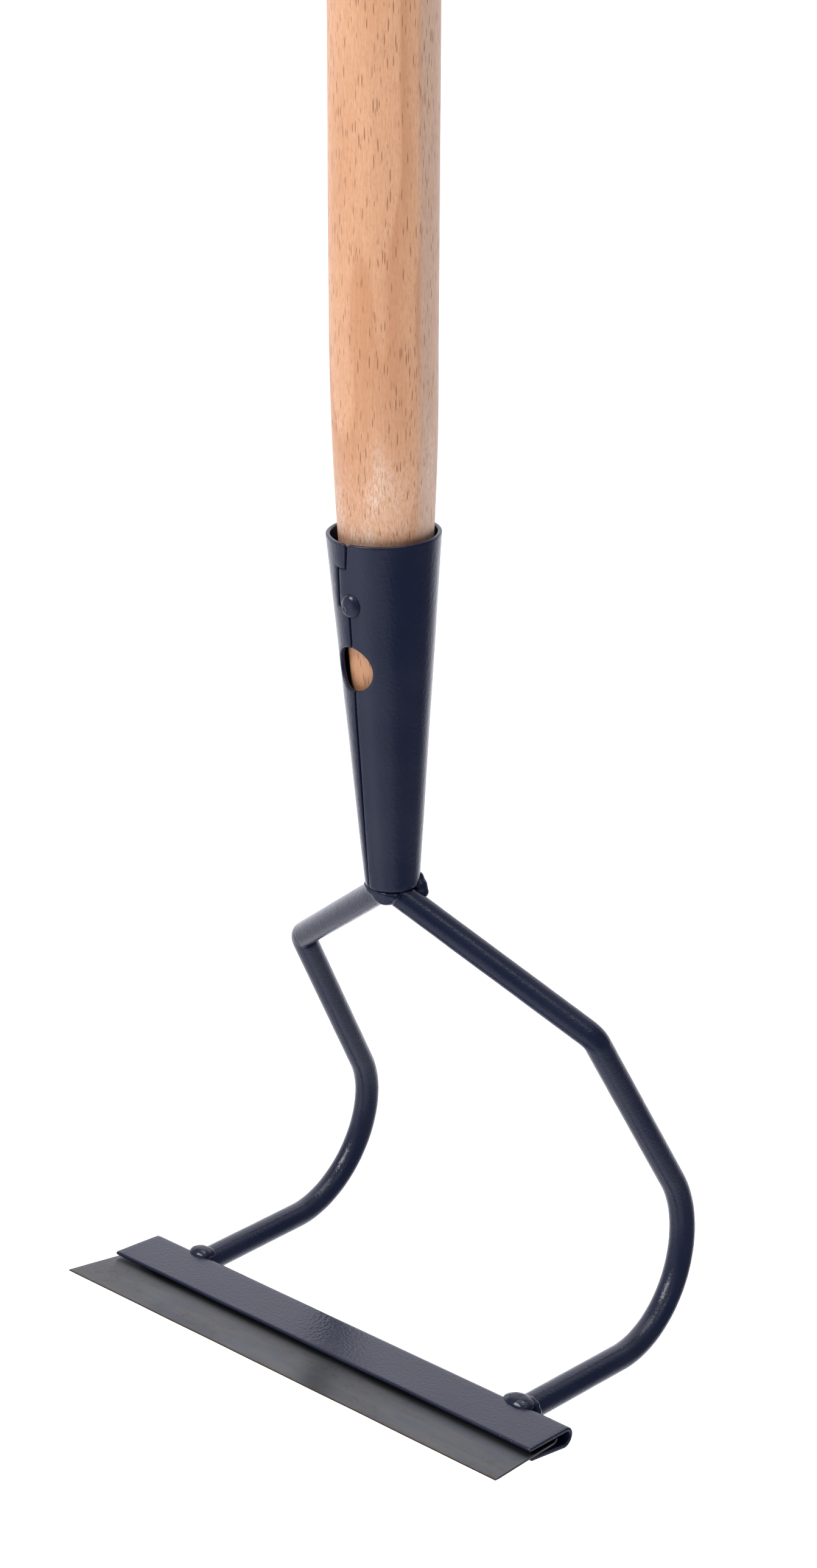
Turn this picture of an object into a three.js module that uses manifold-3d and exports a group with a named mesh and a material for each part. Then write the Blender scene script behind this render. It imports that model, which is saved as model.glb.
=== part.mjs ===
// Long-handled stirrup hoe: two bent rods make a bow under a rolled sheet socket, and the bow carries
// a folded holder that grips a thin strip blade.
// Millimetres. +Z runs up the handle's axis, -Y points to the cutting edge, +X to the right of it.
// The origin is on the handle's axis, where the lower hand holds.
import * as THREE from 'three';
import { mergeVertices } from 'three/addons/utils/BufferGeometryUtils.js';
import Module from 'manifold-3d';

const wasm = await Module();
wasm.setup();

// ---- Driving dimensions, in millimetres and degrees ----

const GAP = 0.3; // left between pieces that touch
const CUTTER_REACH = 60; // longer than anything that a cutter has to pass through
const CURVE_POINTS = 8; // in the turned pieces' curves

const HANDLE = {
  radius: 14.75,
  length: 1400,
  gripAboveMouth: 700, // from the socket's mouth up to the origin
  domeHeight: 9,
  taperAboveMouth: 50, // where the shaft starts to thin
  mouthRadius: 13.42,
  mouthShift: 0.9, // the taper is cut slightly towards the back
  tipDepth: 86, // below the mouth
  tipRadius: 7.9,
  tipShift: 3.2,
  tipChamfer: 1.2,
};

const SOCKET = {
  length: 106,
  mouthRadius: 16.1,
  footRadius: 8,
  wall: 1.3,
  lean: 2.12, // between the socket's axis and the handle's
  slit: 0.5,
  holeRadius: 6.5,
  holeHeight: 68.9,
  holeX: -1.4,
};

// The seam runs up the front from the foot. Near the mouth it steps to the left around a locking tab.
const SEAM = {
  foot: [-2.65, -2],
  tack: [-0.75, 87],
  stepLow: [-4.9, 87],
  stepHigh: [-3.8, 98.6],
  tabLow: [-0.9, 98.6],
  mouth: [0, 108],
};

const TACK = { x: 0.1, z: 88.1, halfWidth: 3.2, halfHeight: 3.5, rise: 2, sink: 0.6 };

const SCREW = {
  height: 84,
  headRadius: 4,
  headRise: 2,
  crownRadius: 3.6, // of the head's rounded edge
  shankRadius: 2,
  length: 15,
  pointLength: 2,
};

const ROD_RADIUS = 4;

// Corners of the right rod's centre line, in the socket's frame, before they are rounded.
const BOW = {
  neck: new THREE.Vector3(0, -2, -0.5),
  elbow: new THREE.Vector3(56.7, 21.9, -42.2),
  bend: new THREE.Vector3(68.1, 84.5, -157.3),
  foot: new THREE.Vector3(63.97, -24.2, -143.06),
  elbowRadius: 10,
  bendRadius: 31.5,
};

// The holder is a strip folded around a small radius. Both flanges rise towards the front.
const HOLDER = {
  length: 164.8,
  sheet: 1.25,
  foldY: -26,
  foldZ: -142.45,
  foldRadius: 3.2, // outside
  upperFlange: 17.3,
  upperRise: 10.2,
  lowerFlange: 15.6,
  lowerRise: 16.8,
};

const BLADE = {
  edgeLength: 168.9,
  backLength: 164.2,
  thickness: 0.7,
  edgeY: -61.5,
  edgeZ: -134.3, // upper face at the cutting edge
  rise: 12.4,
  curlStartY: -31.6,
  curlRadius: 1.6, // middle of the strip
  curlTurn: 75,
  bevel: 2.4, // ground on the underside
  edgeThickness: 0.5,
};

const RIGHT_HOLDER_WELD = { x: 65.1, y: -22.8, z: -139.2, halfX: 5.1, halfY: 3.8, halfZ: 1.8 };

const LEFT_HOLDER_WELD = { x: -64.7, y: -22.8, z: -139.2, halfX: 4.4, halfY: 3.5, halfZ: 1.7 };

const NECK_WELD_FRONT = { x: 1.2, y: -3.2, z: -3.2, halfX: 4.8, halfY: 4.6, halfZ: 2.2 };

const NECK_WELD_BACK = { x: 0.5, y: 6, z: -2.2, halfX: 7.6, halfY: 3.4, halfZ: 4.5 };

// ---- Materials ----

const PAINT = { color: 0x262b3f, roughness: 0.32, metalness: 0 };
const WOOD = { color: 0xdcb08a, roughness: 0.62, metalness: 0 };
const BARE_STEEL = { color: 0x8b8d8f, roughness: 0.4, metalness: 1 };
const ZINC = { color: 0xb4b6b8, roughness: 0.35, metalness: 1 };

// ---- Helpers ----

const radians = THREE.MathUtils.degToRad;

// Swaps the axes of a profile drawn in (Y, Z) so that its extrusion runs along X.
const PROFILE_ALONG_X = new THREE.Matrix4().makeBasis(
  new THREE.Vector3(0, 1, 0),
  new THREE.Vector3(0, 0, 1),
  new THREE.Vector3(1, 0, 0),
);

function solid(geometry) {
  const bare = geometry.clone();
  bare.deleteAttribute('normal');
  bare.deleteAttribute('uv');
  const welded = mergeVertices(bare, 1e-4);
  return new wasm.Manifold(
    new wasm.Mesh({
      numProp: 3,
      vertProperties: new Float32Array(welded.attributes.position.array),
      triVerts: new Uint32Array(welded.index.array),
    }),
  );
}

function geometryOf(manifold) {
  const mesh = manifold.getMesh();
  const geometry = new THREE.BufferGeometry();
  geometry.setAttribute('position', new THREE.BufferAttribute(mesh.vertProperties, 3));
  geometry.setIndex(new THREE.BufferAttribute(mesh.triVerts, 1));
  geometry.computeVertexNormals();
  return geometry;
}

function cut(geometry, cutters) {
  let body = solid(geometry);
  for (const cutter of cutters) {
    body = body.subtract(solid(cutter));
  }
  return geometryOf(body);
}

function piece(name, geometry, look) {
  const mesh = new THREE.Mesh(geometry, new THREE.MeshStandardMaterial(look));
  mesh.name = name;
  return mesh;
}

// A solid turned about Z from (radius, height) pairs that start and end on the axis.
function turned(profile, segments = 48) {
  const points = profile.map(([radius, height]) => new THREE.Vector2(radius, height));
  const geometry = new THREE.LatheGeometry(points, segments);
  geometry.rotateX(Math.PI / 2); // the lathe turns about Y
  return geometry;
}

function extrudedAlongX(shape, length) {
  const geometry = new THREE.ExtrudeGeometry(shape, {
    depth: length,
    bevelEnabled: false,
    curveSegments: 16,
  });
  geometry.translate(0, 0, -length / 2);
  geometry.applyMatrix4(PROFILE_ALONG_X);
  return geometry;
}

function ellipsoid({ x, y, z, halfX, halfY, halfZ }) {
  const geometry = new THREE.SphereGeometry(1, 32, 20);
  geometry.scale(halfX, halfY, halfZ);
  geometry.translate(x, y, z);
  return geometry;
}

function socketRadiusAt(height) {
  const { footRadius, mouthRadius, length } = SOCKET;
  return footRadius + ((mouthRadius - footRadius) * height) / length;
}

// ---- Handle, in its own frame ----

function handleProfile() {
  const { radius, length, domeHeight, taperAboveMouth, mouthRadius } = HANDLE;
  const { tipDepth, tipRadius, tipChamfer, gripAboveMouth } = HANDLE;
  const top = length - tipDepth;
  const taper = new THREE.QuadraticBezierCurve(
    new THREE.Vector2(mouthRadius, 0),
    new THREE.Vector2(radius, taperAboveMouth / 2),
    new THREE.Vector2(radius, taperAboveMouth),
  );
  const profile = [
    [0, -tipDepth],
    [tipRadius - tipChamfer, -tipDepth],
    [tipRadius, tipChamfer - tipDepth],
  ];
  profile.push(...taper.getPoints(CURVE_POINTS).map((point) => [point.x, point.y]));
  for (let i = 0; i < CURVE_POINTS; i += 1) {
    const angle = (i / CURVE_POINTS) * (Math.PI / 2);
    profile.push([radius * Math.cos(angle), top - domeHeight + domeHeight * Math.sin(angle)]);
  }
  profile.push([0, top]);
  return profile.map(([r, z]) => [r, z - gripAboveMouth]);
}

// The part of the shaft below the taper's start follows the socket, towards the back.
function leanTip(geometry) {
  const { gripAboveMouth, taperAboveMouth, mouthShift, tipDepth, tipShift } = HANDLE;
  const position = geometry.attributes.position;
  for (let i = 0; i < position.count; i += 1) {
    const above = position.getZ(i) + gripAboveMouth;
    const upper = THREE.MathUtils.clamp(1 - above / taperAboveMouth, 0, 1) * mouthShift;
    const lower = (Math.max(0, -above) / tipDepth) * (tipShift - mouthShift);
    position.setY(i, position.getY(i) + upper + lower);
  }
  return geometry;
}

function handle(headPlacement) {
  const bore = screwSolid(GAP);
  bore.applyMatrix4(headPlacement);
  return piece('handle', cut(leanTip(turned(handleProfile(), 64)), [bore]), WOOD);
}

// ---- Socket and what is on it, in the socket's frame: foot at the origin, axis along +Z ----

function socketBlank() {
  const { length, mouthRadius, footRadius, wall } = SOCKET;
  return turned([
    [footRadius - wall, 0],
    [footRadius, 0],
    [mouthRadius, length],
    [mouthRadius - wall, length],
    [footRadius - wall, 0],
  ], 64);
}

// A thin upright blade between two (x, z) points, standing through the front wall only.
function slitCutter([fromX, fromZ], [toX, toZ]) {
  const run = Math.hypot(toX - fromX, toZ - fromZ);
  const cutter = new THREE.BoxGeometry(SOCKET.slit, CUTTER_REACH, run + SOCKET.slit);
  cutter.rotateY(Math.atan2(toX - fromX, toZ - fromZ));
  cutter.translate((fromX + toX) / 2, -CUTTER_REACH / 2, (fromZ + toZ) / 2);
  return cutter;
}

function seamHoleCutter() {
  const cutter = new THREE.CylinderGeometry(SOCKET.holeRadius, SOCKET.holeRadius, CUTTER_REACH, 48);
  cutter.translate(0, -CUTTER_REACH / 2, 0);
  cutter.translate(SOCKET.holeX, 0, SOCKET.holeHeight);
  return cutter;
}

// The fixing screw points inwards from the back, and its head stands on the outside of the wall.
function screwSolid(clearance) {
  const { height, headRadius, headRise, crownRadius, shankRadius, length, pointLength } = SCREW;
  const seat = socketRadiusAt(height + headRadius) + GAP - clearance;
  const dome = new THREE.QuadraticBezierCurve(
    new THREE.Vector2(headRadius + clearance, seat),
    new THREE.Vector2(crownRadius, seat + headRise),
    new THREE.Vector2(0, seat + headRise),
  );
  const profile = [
    [0, seat - length],
    [shankRadius + clearance, seat - length + pointLength],
    [shankRadius + clearance, seat],
  ];
  profile.push(...dome.getPoints(CURVE_POINTS).map((point) => [point.x, point.y]));
  const geometry = turned(profile, 32);
  geometry.rotateX(-Math.PI / 2);
  geometry.translate(0, 0, height);
  return geometry;
}

function screw() {
  return piece('handle_screw', screwSolid(0), ZINC);
}

function socket() {
  const slits = [
    slitCutter(SEAM.foot, SEAM.tack),
    slitCutter(SEAM.tack, SEAM.stepLow),
    slitCutter(SEAM.stepLow, SEAM.stepHigh),
    slitCutter(SEAM.stepHigh, SEAM.tabLow),
    slitCutter(SEAM.tabLow, SEAM.mouth),
  ];
  const screwHole = screwSolid(GAP);
  return piece('socket', cut(socketBlank(), [...slits, seamHoleCutter(), screwHole]), PAINT);
}

// A solid cone that stands a clearance outside the socket, for trimming what is welded to it.
function socketEnvelope() {
  const { length, mouthRadius, footRadius } = SOCKET;
  return turned([
    [0, -GAP],
    [footRadius + GAP, -GAP],
    [mouthRadius + GAP, length],
    [0, length],
  ], 64);
}

function seamTack() {
  const { x, z, halfWidth, halfHeight, rise, sink } = TACK;
  const dome = ellipsoid({
    x,
    y: -socketRadiusAt(z) + sink,
    z,
    halfX: halfWidth,
    halfY: rise + sink,
    halfZ: halfHeight,
  });
  return piece('seam_tack_weld', cut(dome, [socketEnvelope()]), PAINT);
}

// ---- Bow ----

// A straight-legged line with round corners. Its points lie only where the line needs them.
class BentLine extends THREE.Curve {
  constructor(corners, radii, stepsPerCorner) {
    super();
    this.stations = [{ point: corners[0], tangent: direction(corners[0], corners[1]) }];
    for (let i = 1; i < corners.length - 1; i += 1) {
      this.addCorner(corners[i - 1], corners[i], corners[i + 1], radii[i - 1], stepsPerCorner[i - 1]);
    }
    const last = corners.length - 1;
    this.stations.push({ point: corners[last], tangent: direction(corners[last - 1], corners[last]) });
  }

  addCorner(before, corner, after, radius, steps) {
    const arriving = direction(before, corner);
    const leaving = direction(corner, after);
    const turn = arriving.angleTo(leaving);
    const start = corner.clone().addScaledVector(arriving, -radius * Math.tan(turn / 2));
    const axis = arriving.clone().cross(leaving).normalize();
    const inward = axis.clone().cross(arriving);
    const centre = start.clone().addScaledVector(inward, radius);
    for (let i = 0; i <= steps; i += 1) {
      const angle = (turn * i) / steps;
      const spoke = inward.clone().multiplyScalar(-radius).applyAxisAngle(axis, angle);
      this.stations.push({
        point: centre.clone().add(spoke),
        tangent: arriving.clone().applyAxisAngle(axis, angle),
      });
    }
  }

  get steps() {
    return this.stations.length - 1;
  }

  getPointAt(u) {
    return this.stations[Math.round(u * this.steps)].point.clone();
  }

  getTangentAt(u) {
    return this.stations[Math.round(u * this.steps)].tangent.clone();
  }
}

function direction(from, to) {
  return to.clone().sub(from).normalize();
}

function rod(line, radius) {
  const section = new THREE.Shape();
  section.absarc(0, 0, radius, 0, Math.PI * 2);
  return new THREE.ExtrudeGeometry(section, {
    steps: line.steps,
    extrudePath: line,
    curveSegments: 12,
    bevelEnabled: false,
  });
}

// side is 1 for the right rod and -1 for the left. The top end runs past the middle, to be mitred.
function armLine(side) {
  const mirror = new THREE.Vector3(side, 1, 1);
  const past = BOW.neck.clone().addScaledVector(direction(BOW.elbow, BOW.neck), 2 * ROD_RADIUS);
  const corners = [past, BOW.elbow, BOW.bend, BOW.foot].map((corner) => corner.clone().multiply(mirror));
  return new BentLine(corners, [BOW.elbowRadius, BOW.bendRadius], [7, 18]);
}

function otherSideCutter(side) {
  const cutter = new THREE.BoxGeometry(CUTTER_REACH, CUTTER_REACH, CUTTER_REACH);
  cutter.translate(side * (GAP / 2 - CUTTER_REACH / 2), 0, 0);
  return cutter;
}

// The rod's lower end fits around the back of the holder's fold.
function foldCutter() {
  const radius = HOLDER.foldRadius + GAP;
  const cutter = new THREE.CylinderGeometry(radius, radius, HOLDER.length, 48);
  cutter.rotateZ(Math.PI / 2);
  cutter.translate(0, HOLDER.foldY, HOLDER.foldZ);
  return cutter;
}

function arm(name, side) {
  const blank = rod(armLine(side), ROD_RADIUS);
  return piece(name, cut(blank, [otherSideCutter(side), foldCutter()]), PAINT);
}

// ---- Holder and blade ----

// A flange's frame: its direction to the front and the normal on the outside of the sheet.
function flange(rise, outside) {
  const angle = radians(rise);
  return {
    forward: new THREE.Vector2(-Math.cos(angle), Math.sin(angle)),
    normalAngle: outside > 0 ? Math.PI / 2 - angle : -Math.PI / 2 - angle,
  };
}

// The middle of a flange's rounded lip.
function flangeTip(fold, { forward, normalAngle }, middleRadius, length) {
  return new THREE.Vector2(Math.cos(normalAngle), Math.sin(normalAngle))
    .multiplyScalar(middleRadius)
    .addScaledVector(forward, length)
    .add(fold);
}

function holderProfile() {
  const { sheet, foldY, foldZ, foldRadius } = HOLDER;
  const { upperFlange, upperRise, lowerFlange, lowerRise } = HOLDER;
  const fold = new THREE.Vector2(foldY, foldZ);
  const upper = flange(upperRise, 1);
  const lower = flange(lowerRise, -1);
  const middle = foldRadius - sheet / 2;
  const upperTip = flangeTip(fold, upper, middle, upperFlange);
  const lowerTip = flangeTip(fold, lower, middle, lowerFlange);
  const lip = sheet / 2;
  const above = upper.normalAngle;
  const below = lower.normalAngle;
  const shape = new THREE.Shape();
  shape.absarc(fold.x, fold.y, foldRadius, below, above, false);
  shape.absarc(upperTip.x, upperTip.y, lip, above, above + Math.PI, false);
  shape.absarc(fold.x, fold.y, foldRadius - sheet, above, below, true);
  shape.absarc(lowerTip.x, lowerTip.y, lip, below + Math.PI, below + 2 * Math.PI, false);
  shape.closePath();
  return shape;
}

function holder() {
  return piece('blade_holder', extrudedAlongX(holderProfile(), HOLDER.length), PAINT);
}

function bladeProfile() {
  const { edgeY, edgeZ, rise, thickness, bevel, edgeThickness } = BLADE;
  const { curlStartY, curlRadius, curlTurn } = BLADE;
  const slope = radians(rise);
  const back = new THREE.Vector2(Math.cos(slope), -Math.sin(slope));
  const up = new THREE.Vector2(Math.sin(slope), Math.cos(slope));
  const edge = new THREE.Vector2(edgeY, edgeZ);
  const flatLength = (curlStartY - edgeY) / Math.cos(slope);
  const curlCentre = edge.clone()
    .addScaledVector(back, flatLength)
    .addScaledVector(up, curlRadius - thickness / 2);
  const start = -Math.PI / 2 - slope;
  const end = start + radians(curlTurn);
  const heel = edge.clone().addScaledVector(back, bevel).addScaledVector(up, -thickness);
  const underEdge = edge.clone().addScaledVector(up, -edgeThickness);
  const shape = new THREE.Shape();
  shape.moveTo(edge.x, edge.y);
  shape.lineTo(underEdge.x, underEdge.y);
  shape.lineTo(heel.x, heel.y);
  shape.absarc(curlCentre.x, curlCentre.y, curlRadius + thickness / 2, start, end, false);
  shape.absarc(curlCentre.x, curlCentre.y, curlRadius - thickness / 2, end, start, true);
  shape.closePath();
  return shape;
}

// The strip is shorter at its back than along its edge.
function slantEnds(geometry) {
  const { edgeLength, backLength, edgeY, curlStartY } = BLADE;
  const position = geometry.attributes.position;
  for (let i = 0; i < position.count; i += 1) {
    const along = (position.getY(i) - edgeY) / (curlStartY - edgeY);
    const half = THREE.MathUtils.lerp(edgeLength, backLength, Math.min(along, 1)) / 2;
    position.setX(i, Math.sign(position.getX(i)) * half);
  }
  return geometry;
}

function blade() {
  return piece('blade', slantEnds(extrudedAlongX(bladeProfile(), BLADE.edgeLength)), BARE_STEEL);
}

// ---- Welds of the bow ----

// Everything that a weld lies on, each grown by the gap.
function bowEnvelopes() {
  const grown = [1, -1].map((side) => rod(armLine(side), ROD_RADIUS + GAP));
  return [...grown, socketEnvelope()];
}

function neckWeldFront() {
  return piece('neck_weld_front', cut(ellipsoid(NECK_WELD_FRONT), bowEnvelopes()), PAINT);
}

function neckWeldBack() {
  return piece('neck_weld_back', cut(ellipsoid(NECK_WELD_BACK), bowEnvelopes()), PAINT);
}

function holderWeld(name, size) {
  const grownRod = rod(armLine(Math.sign(size.x)), ROD_RADIUS + GAP);
  return piece(name, cut(ellipsoid(size), [grownRod, foldCutter(), flangeEnvelope()]), PAINT);
}

// The space that the holder's upper flange takes, grown by the gap, down to below the fold.
function flangeEnvelope() {
  const { foldY, foldZ, foldRadius, upperFlange, upperRise, length } = HOLDER;
  const box = new THREE.BoxGeometry(length, upperFlange, 2 * (foldRadius + GAP));
  box.translate(0, -upperFlange / 2, 0);
  box.rotateX(-radians(upperRise));
  box.translate(0, foldY, foldZ);
  return box;
}

// ---- Assembly ----

const head = new THREE.Group();
head.add(socket(), seamTack(), screw());
head.add(arm('right_arm', 1), arm('left_arm', -1));
head.add(neckWeldFront(), neckWeldBack());
head.add(holder(), blade());
head.add(holderWeld('right_holder_weld', RIGHT_HOLDER_WELD));
head.add(holderWeld('left_holder_weld', LEFT_HOLDER_WELD));

// The head hangs from the middle of the mouth and leans about it.
const lean = radians(SOCKET.lean);
head.rotation.x = lean;
head.position.y = SOCKET.length * Math.sin(lean);
head.position.z = -HANDLE.gripAboveMouth - SOCKET.length * Math.cos(lean);
head.updateMatrix();

const hoe = new THREE.Group();
hoe.add(head, handle(head.matrix));

export default hoe;
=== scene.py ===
"""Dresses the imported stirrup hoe: turned beech, powder-coated steel, weld beads and a bare strip blade.

Every piece is drawn in millimetres, in the handle's frame or in the head's own frame, and is then
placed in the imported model's frame, in metres.
"""

import logging
import math
from dataclasses import dataclass, field
from enum import Enum
from typing import Callable, Iterable, Sequence

import bmesh
import bpy
import numpy as np
from mathutils import Matrix, Vector, noise
from mathutils.geometry import delaunay_2d_cdt


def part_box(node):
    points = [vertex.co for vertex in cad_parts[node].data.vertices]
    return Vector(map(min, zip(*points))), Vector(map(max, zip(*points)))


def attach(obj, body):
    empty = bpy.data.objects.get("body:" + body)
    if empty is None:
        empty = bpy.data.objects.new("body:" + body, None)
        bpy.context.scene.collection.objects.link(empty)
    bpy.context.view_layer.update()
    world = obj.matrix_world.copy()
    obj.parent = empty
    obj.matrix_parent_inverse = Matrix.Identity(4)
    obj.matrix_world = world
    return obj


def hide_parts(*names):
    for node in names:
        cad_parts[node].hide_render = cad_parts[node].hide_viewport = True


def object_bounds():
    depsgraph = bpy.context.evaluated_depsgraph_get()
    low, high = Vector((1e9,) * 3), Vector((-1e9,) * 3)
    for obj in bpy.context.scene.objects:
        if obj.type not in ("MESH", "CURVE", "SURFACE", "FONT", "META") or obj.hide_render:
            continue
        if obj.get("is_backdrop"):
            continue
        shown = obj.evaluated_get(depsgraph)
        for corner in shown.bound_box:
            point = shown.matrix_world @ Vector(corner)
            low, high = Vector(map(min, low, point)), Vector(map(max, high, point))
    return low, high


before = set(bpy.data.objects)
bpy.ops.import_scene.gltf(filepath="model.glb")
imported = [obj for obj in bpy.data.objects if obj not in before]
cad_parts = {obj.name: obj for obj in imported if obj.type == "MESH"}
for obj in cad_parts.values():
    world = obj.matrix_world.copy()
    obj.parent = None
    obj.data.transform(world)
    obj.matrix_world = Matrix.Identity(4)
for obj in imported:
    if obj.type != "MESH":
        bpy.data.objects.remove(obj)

LOG = logging.getLogger("stirrup_hoe")
MM = 0.001
WELD_MM = 1e-4
Point2 = tuple[float, float]
Point3 = tuple[float, float, float]
Drop = tuple[float, float, float, float, float, float]
Colour = tuple[float, float, float, float]


class Body(Enum):
    """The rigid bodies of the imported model."""

    HOE = "hoe"
    BLADE = "blade"


class Slot(Enum):
    """The record's material slots."""

    BEECH = "beech"
    PAINT = "paint"
    BARE_STEEL = "bare_steel"
    ZINC = "zinc_plated_steel"


# ---------------------------------------------------------------- frames and drafts


@dataclass(frozen=True)
class HeadFrame:
    """Where the steel head sits: its foot is the origin, and its axis leans a little from the handle's.

    Attributes:
        lean_deg: angle between the socket's axis and the handle's.
        socket_length: along the socket's axis.
        mouth_radius: outside, at the mouth.
    """

    lean_deg: float = 2.12
    socket_length: float = 106.0
    mouth_radius: float = 16.1

    @property
    def mouth_height(self) -> float:
        """Height of the middle of the socket's mouth, in metres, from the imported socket's top."""
        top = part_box("socket")[1].z
        return top - self.mouth_radius * MM * math.sin(math.radians(self.lean_deg))

    def matrix(self) -> Matrix:
        """Turns the head's millimetres into the model's metres.

        Returns:
            The placement of everything that is drawn in the head's frame.
        """
        lean = Matrix.Rotation(math.radians(self.lean_deg), 4, "X")
        mouth = Matrix.Translation((0, 0, self.mouth_height))
        foot = Matrix.Translation((0, 0, -self.socket_length * MM))
        return mouth @ lean @ foot @ Matrix.Scale(MM, 4)


def handle_matrix(head: HeadFrame) -> Matrix:
    """Placement of what is drawn in millimetres above the socket's mouth, on the handle's axis."""
    return Matrix.Translation((0, 0, head.mouth_height)) @ Matrix.Scale(MM, 4)


class Draft:
    """The points and faces of one piece while it is drawn, in millimetres."""

    def __init__(self) -> None:
        """Starts an empty draft."""
        self.points: list[Vector] = []
        self.faces: list[tuple[int, ...]] = []

    def add(self, points: Iterable[Sequence[float]]) -> list[int]:
        """Adds points.

        Args:
            points: the new points.

        Returns:
            Their indices.
        """
        first = len(self.points)
        self.points.extend(Vector(p) for p in points)
        return list(range(first, len(self.points)))

    def bridge(self, lower: list[int], upper: list[int], closed: bool = True) -> None:
        """Joins two rows of the same length with quads.

        Args:
            lower: indices of one row.
            upper: indices of the other row.
            closed: whether the rows are rings.
        """
        count = len(lower)
        for i in range(count if closed else count - 1):
            j = (i + 1) % count
            self.faces.append((lower[i], lower[j], upper[j], upper[i]))

    def cap(self, ring: list[int]) -> None:
        """Closes a ring with a fan around its middle.

        Args:
            ring: indices of the ring.
        """
        middle = sum((self.points[i] for i in ring), Vector()) / len(ring)
        (hub,) = self.add([middle])
        for i, index in enumerate(ring):
            self.faces.append((index, ring[(i + 1) % len(ring)], hub))

    def loft(self, rings: Sequence[Sequence[Sequence[float]]], capped: bool = True) -> None:
        """Skins a row of rings of the same length.

        Args:
            rings: the rings, in order.
            capped: whether both ends are closed.
        """
        rows = [self.add(ring) for ring in rings]
        for lower, upper in zip(rows, rows[1:]):
            self.bridge(lower, upper)
        if capped:
            self.cap(rows[0])
            self.cap(rows[-1])

    def build(self, name: str, place: Matrix, sharp_deg: float = 50.0) -> bpy.types.Object:
        """Makes the object, smooth except across sharp edges, with the points that meet joined.

        Args:
            name: the object's name.
            place: turns the draft's millimetres into the model's metres.
            sharp_deg: edges sharper than this stay sharp.

        Returns:
            The new object, linked to the scene.
        """
        mesh = bpy.data.meshes.new(name)
        mesh.from_pydata([tuple(p) for p in self.points], [], self.faces)
        work = bmesh.new()
        work.from_mesh(mesh)
        bmesh.ops.remove_doubles(work, verts=work.verts, dist=WELD_MM)
        bmesh.ops.recalc_face_normals(work, faces=work.faces)
        work.to_mesh(mesh)
        work.free()
        mesh.transform(place)
        mesh.shade_smooth()
        mesh.set_sharp_from_angle(angle=math.radians(sharp_deg))
        made = bpy.data.objects.new(name, mesh)
        bpy.context.scene.collection.objects.link(made)
        return made


def smooth_step(low: float, high: float, value: float) -> float:
    """A soft step from 0 at low to 1 at high."""
    t = min(max((value - low) / (high - low), 0.0), 1.0)
    return t * t * (3 - 2 * t)


def circle(sides: int) -> list[Point2]:
    """Cosine and sine of evenly spaced turns."""
    return [(math.cos(math.tau * k / sides), math.sin(math.tau * k / sides)) for k in range(sides)]


def settle(piece: bpy.types.Object, body: Body, slot: Slot, look: bpy.types.Material,
           nodes: Sequence[str]) -> None:
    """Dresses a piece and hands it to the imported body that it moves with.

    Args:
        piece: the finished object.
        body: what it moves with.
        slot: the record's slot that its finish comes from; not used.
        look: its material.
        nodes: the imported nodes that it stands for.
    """
    piece.data.materials.clear()
    piece.data.materials.append(look)
    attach(piece, body.value)
    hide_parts(*nodes)
    LOG.info("%s: %d faces, rides on %s", piece.name, len(piece.data.polygons), body.value)


# ---------------------------------------------------------------- finishes


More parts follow.
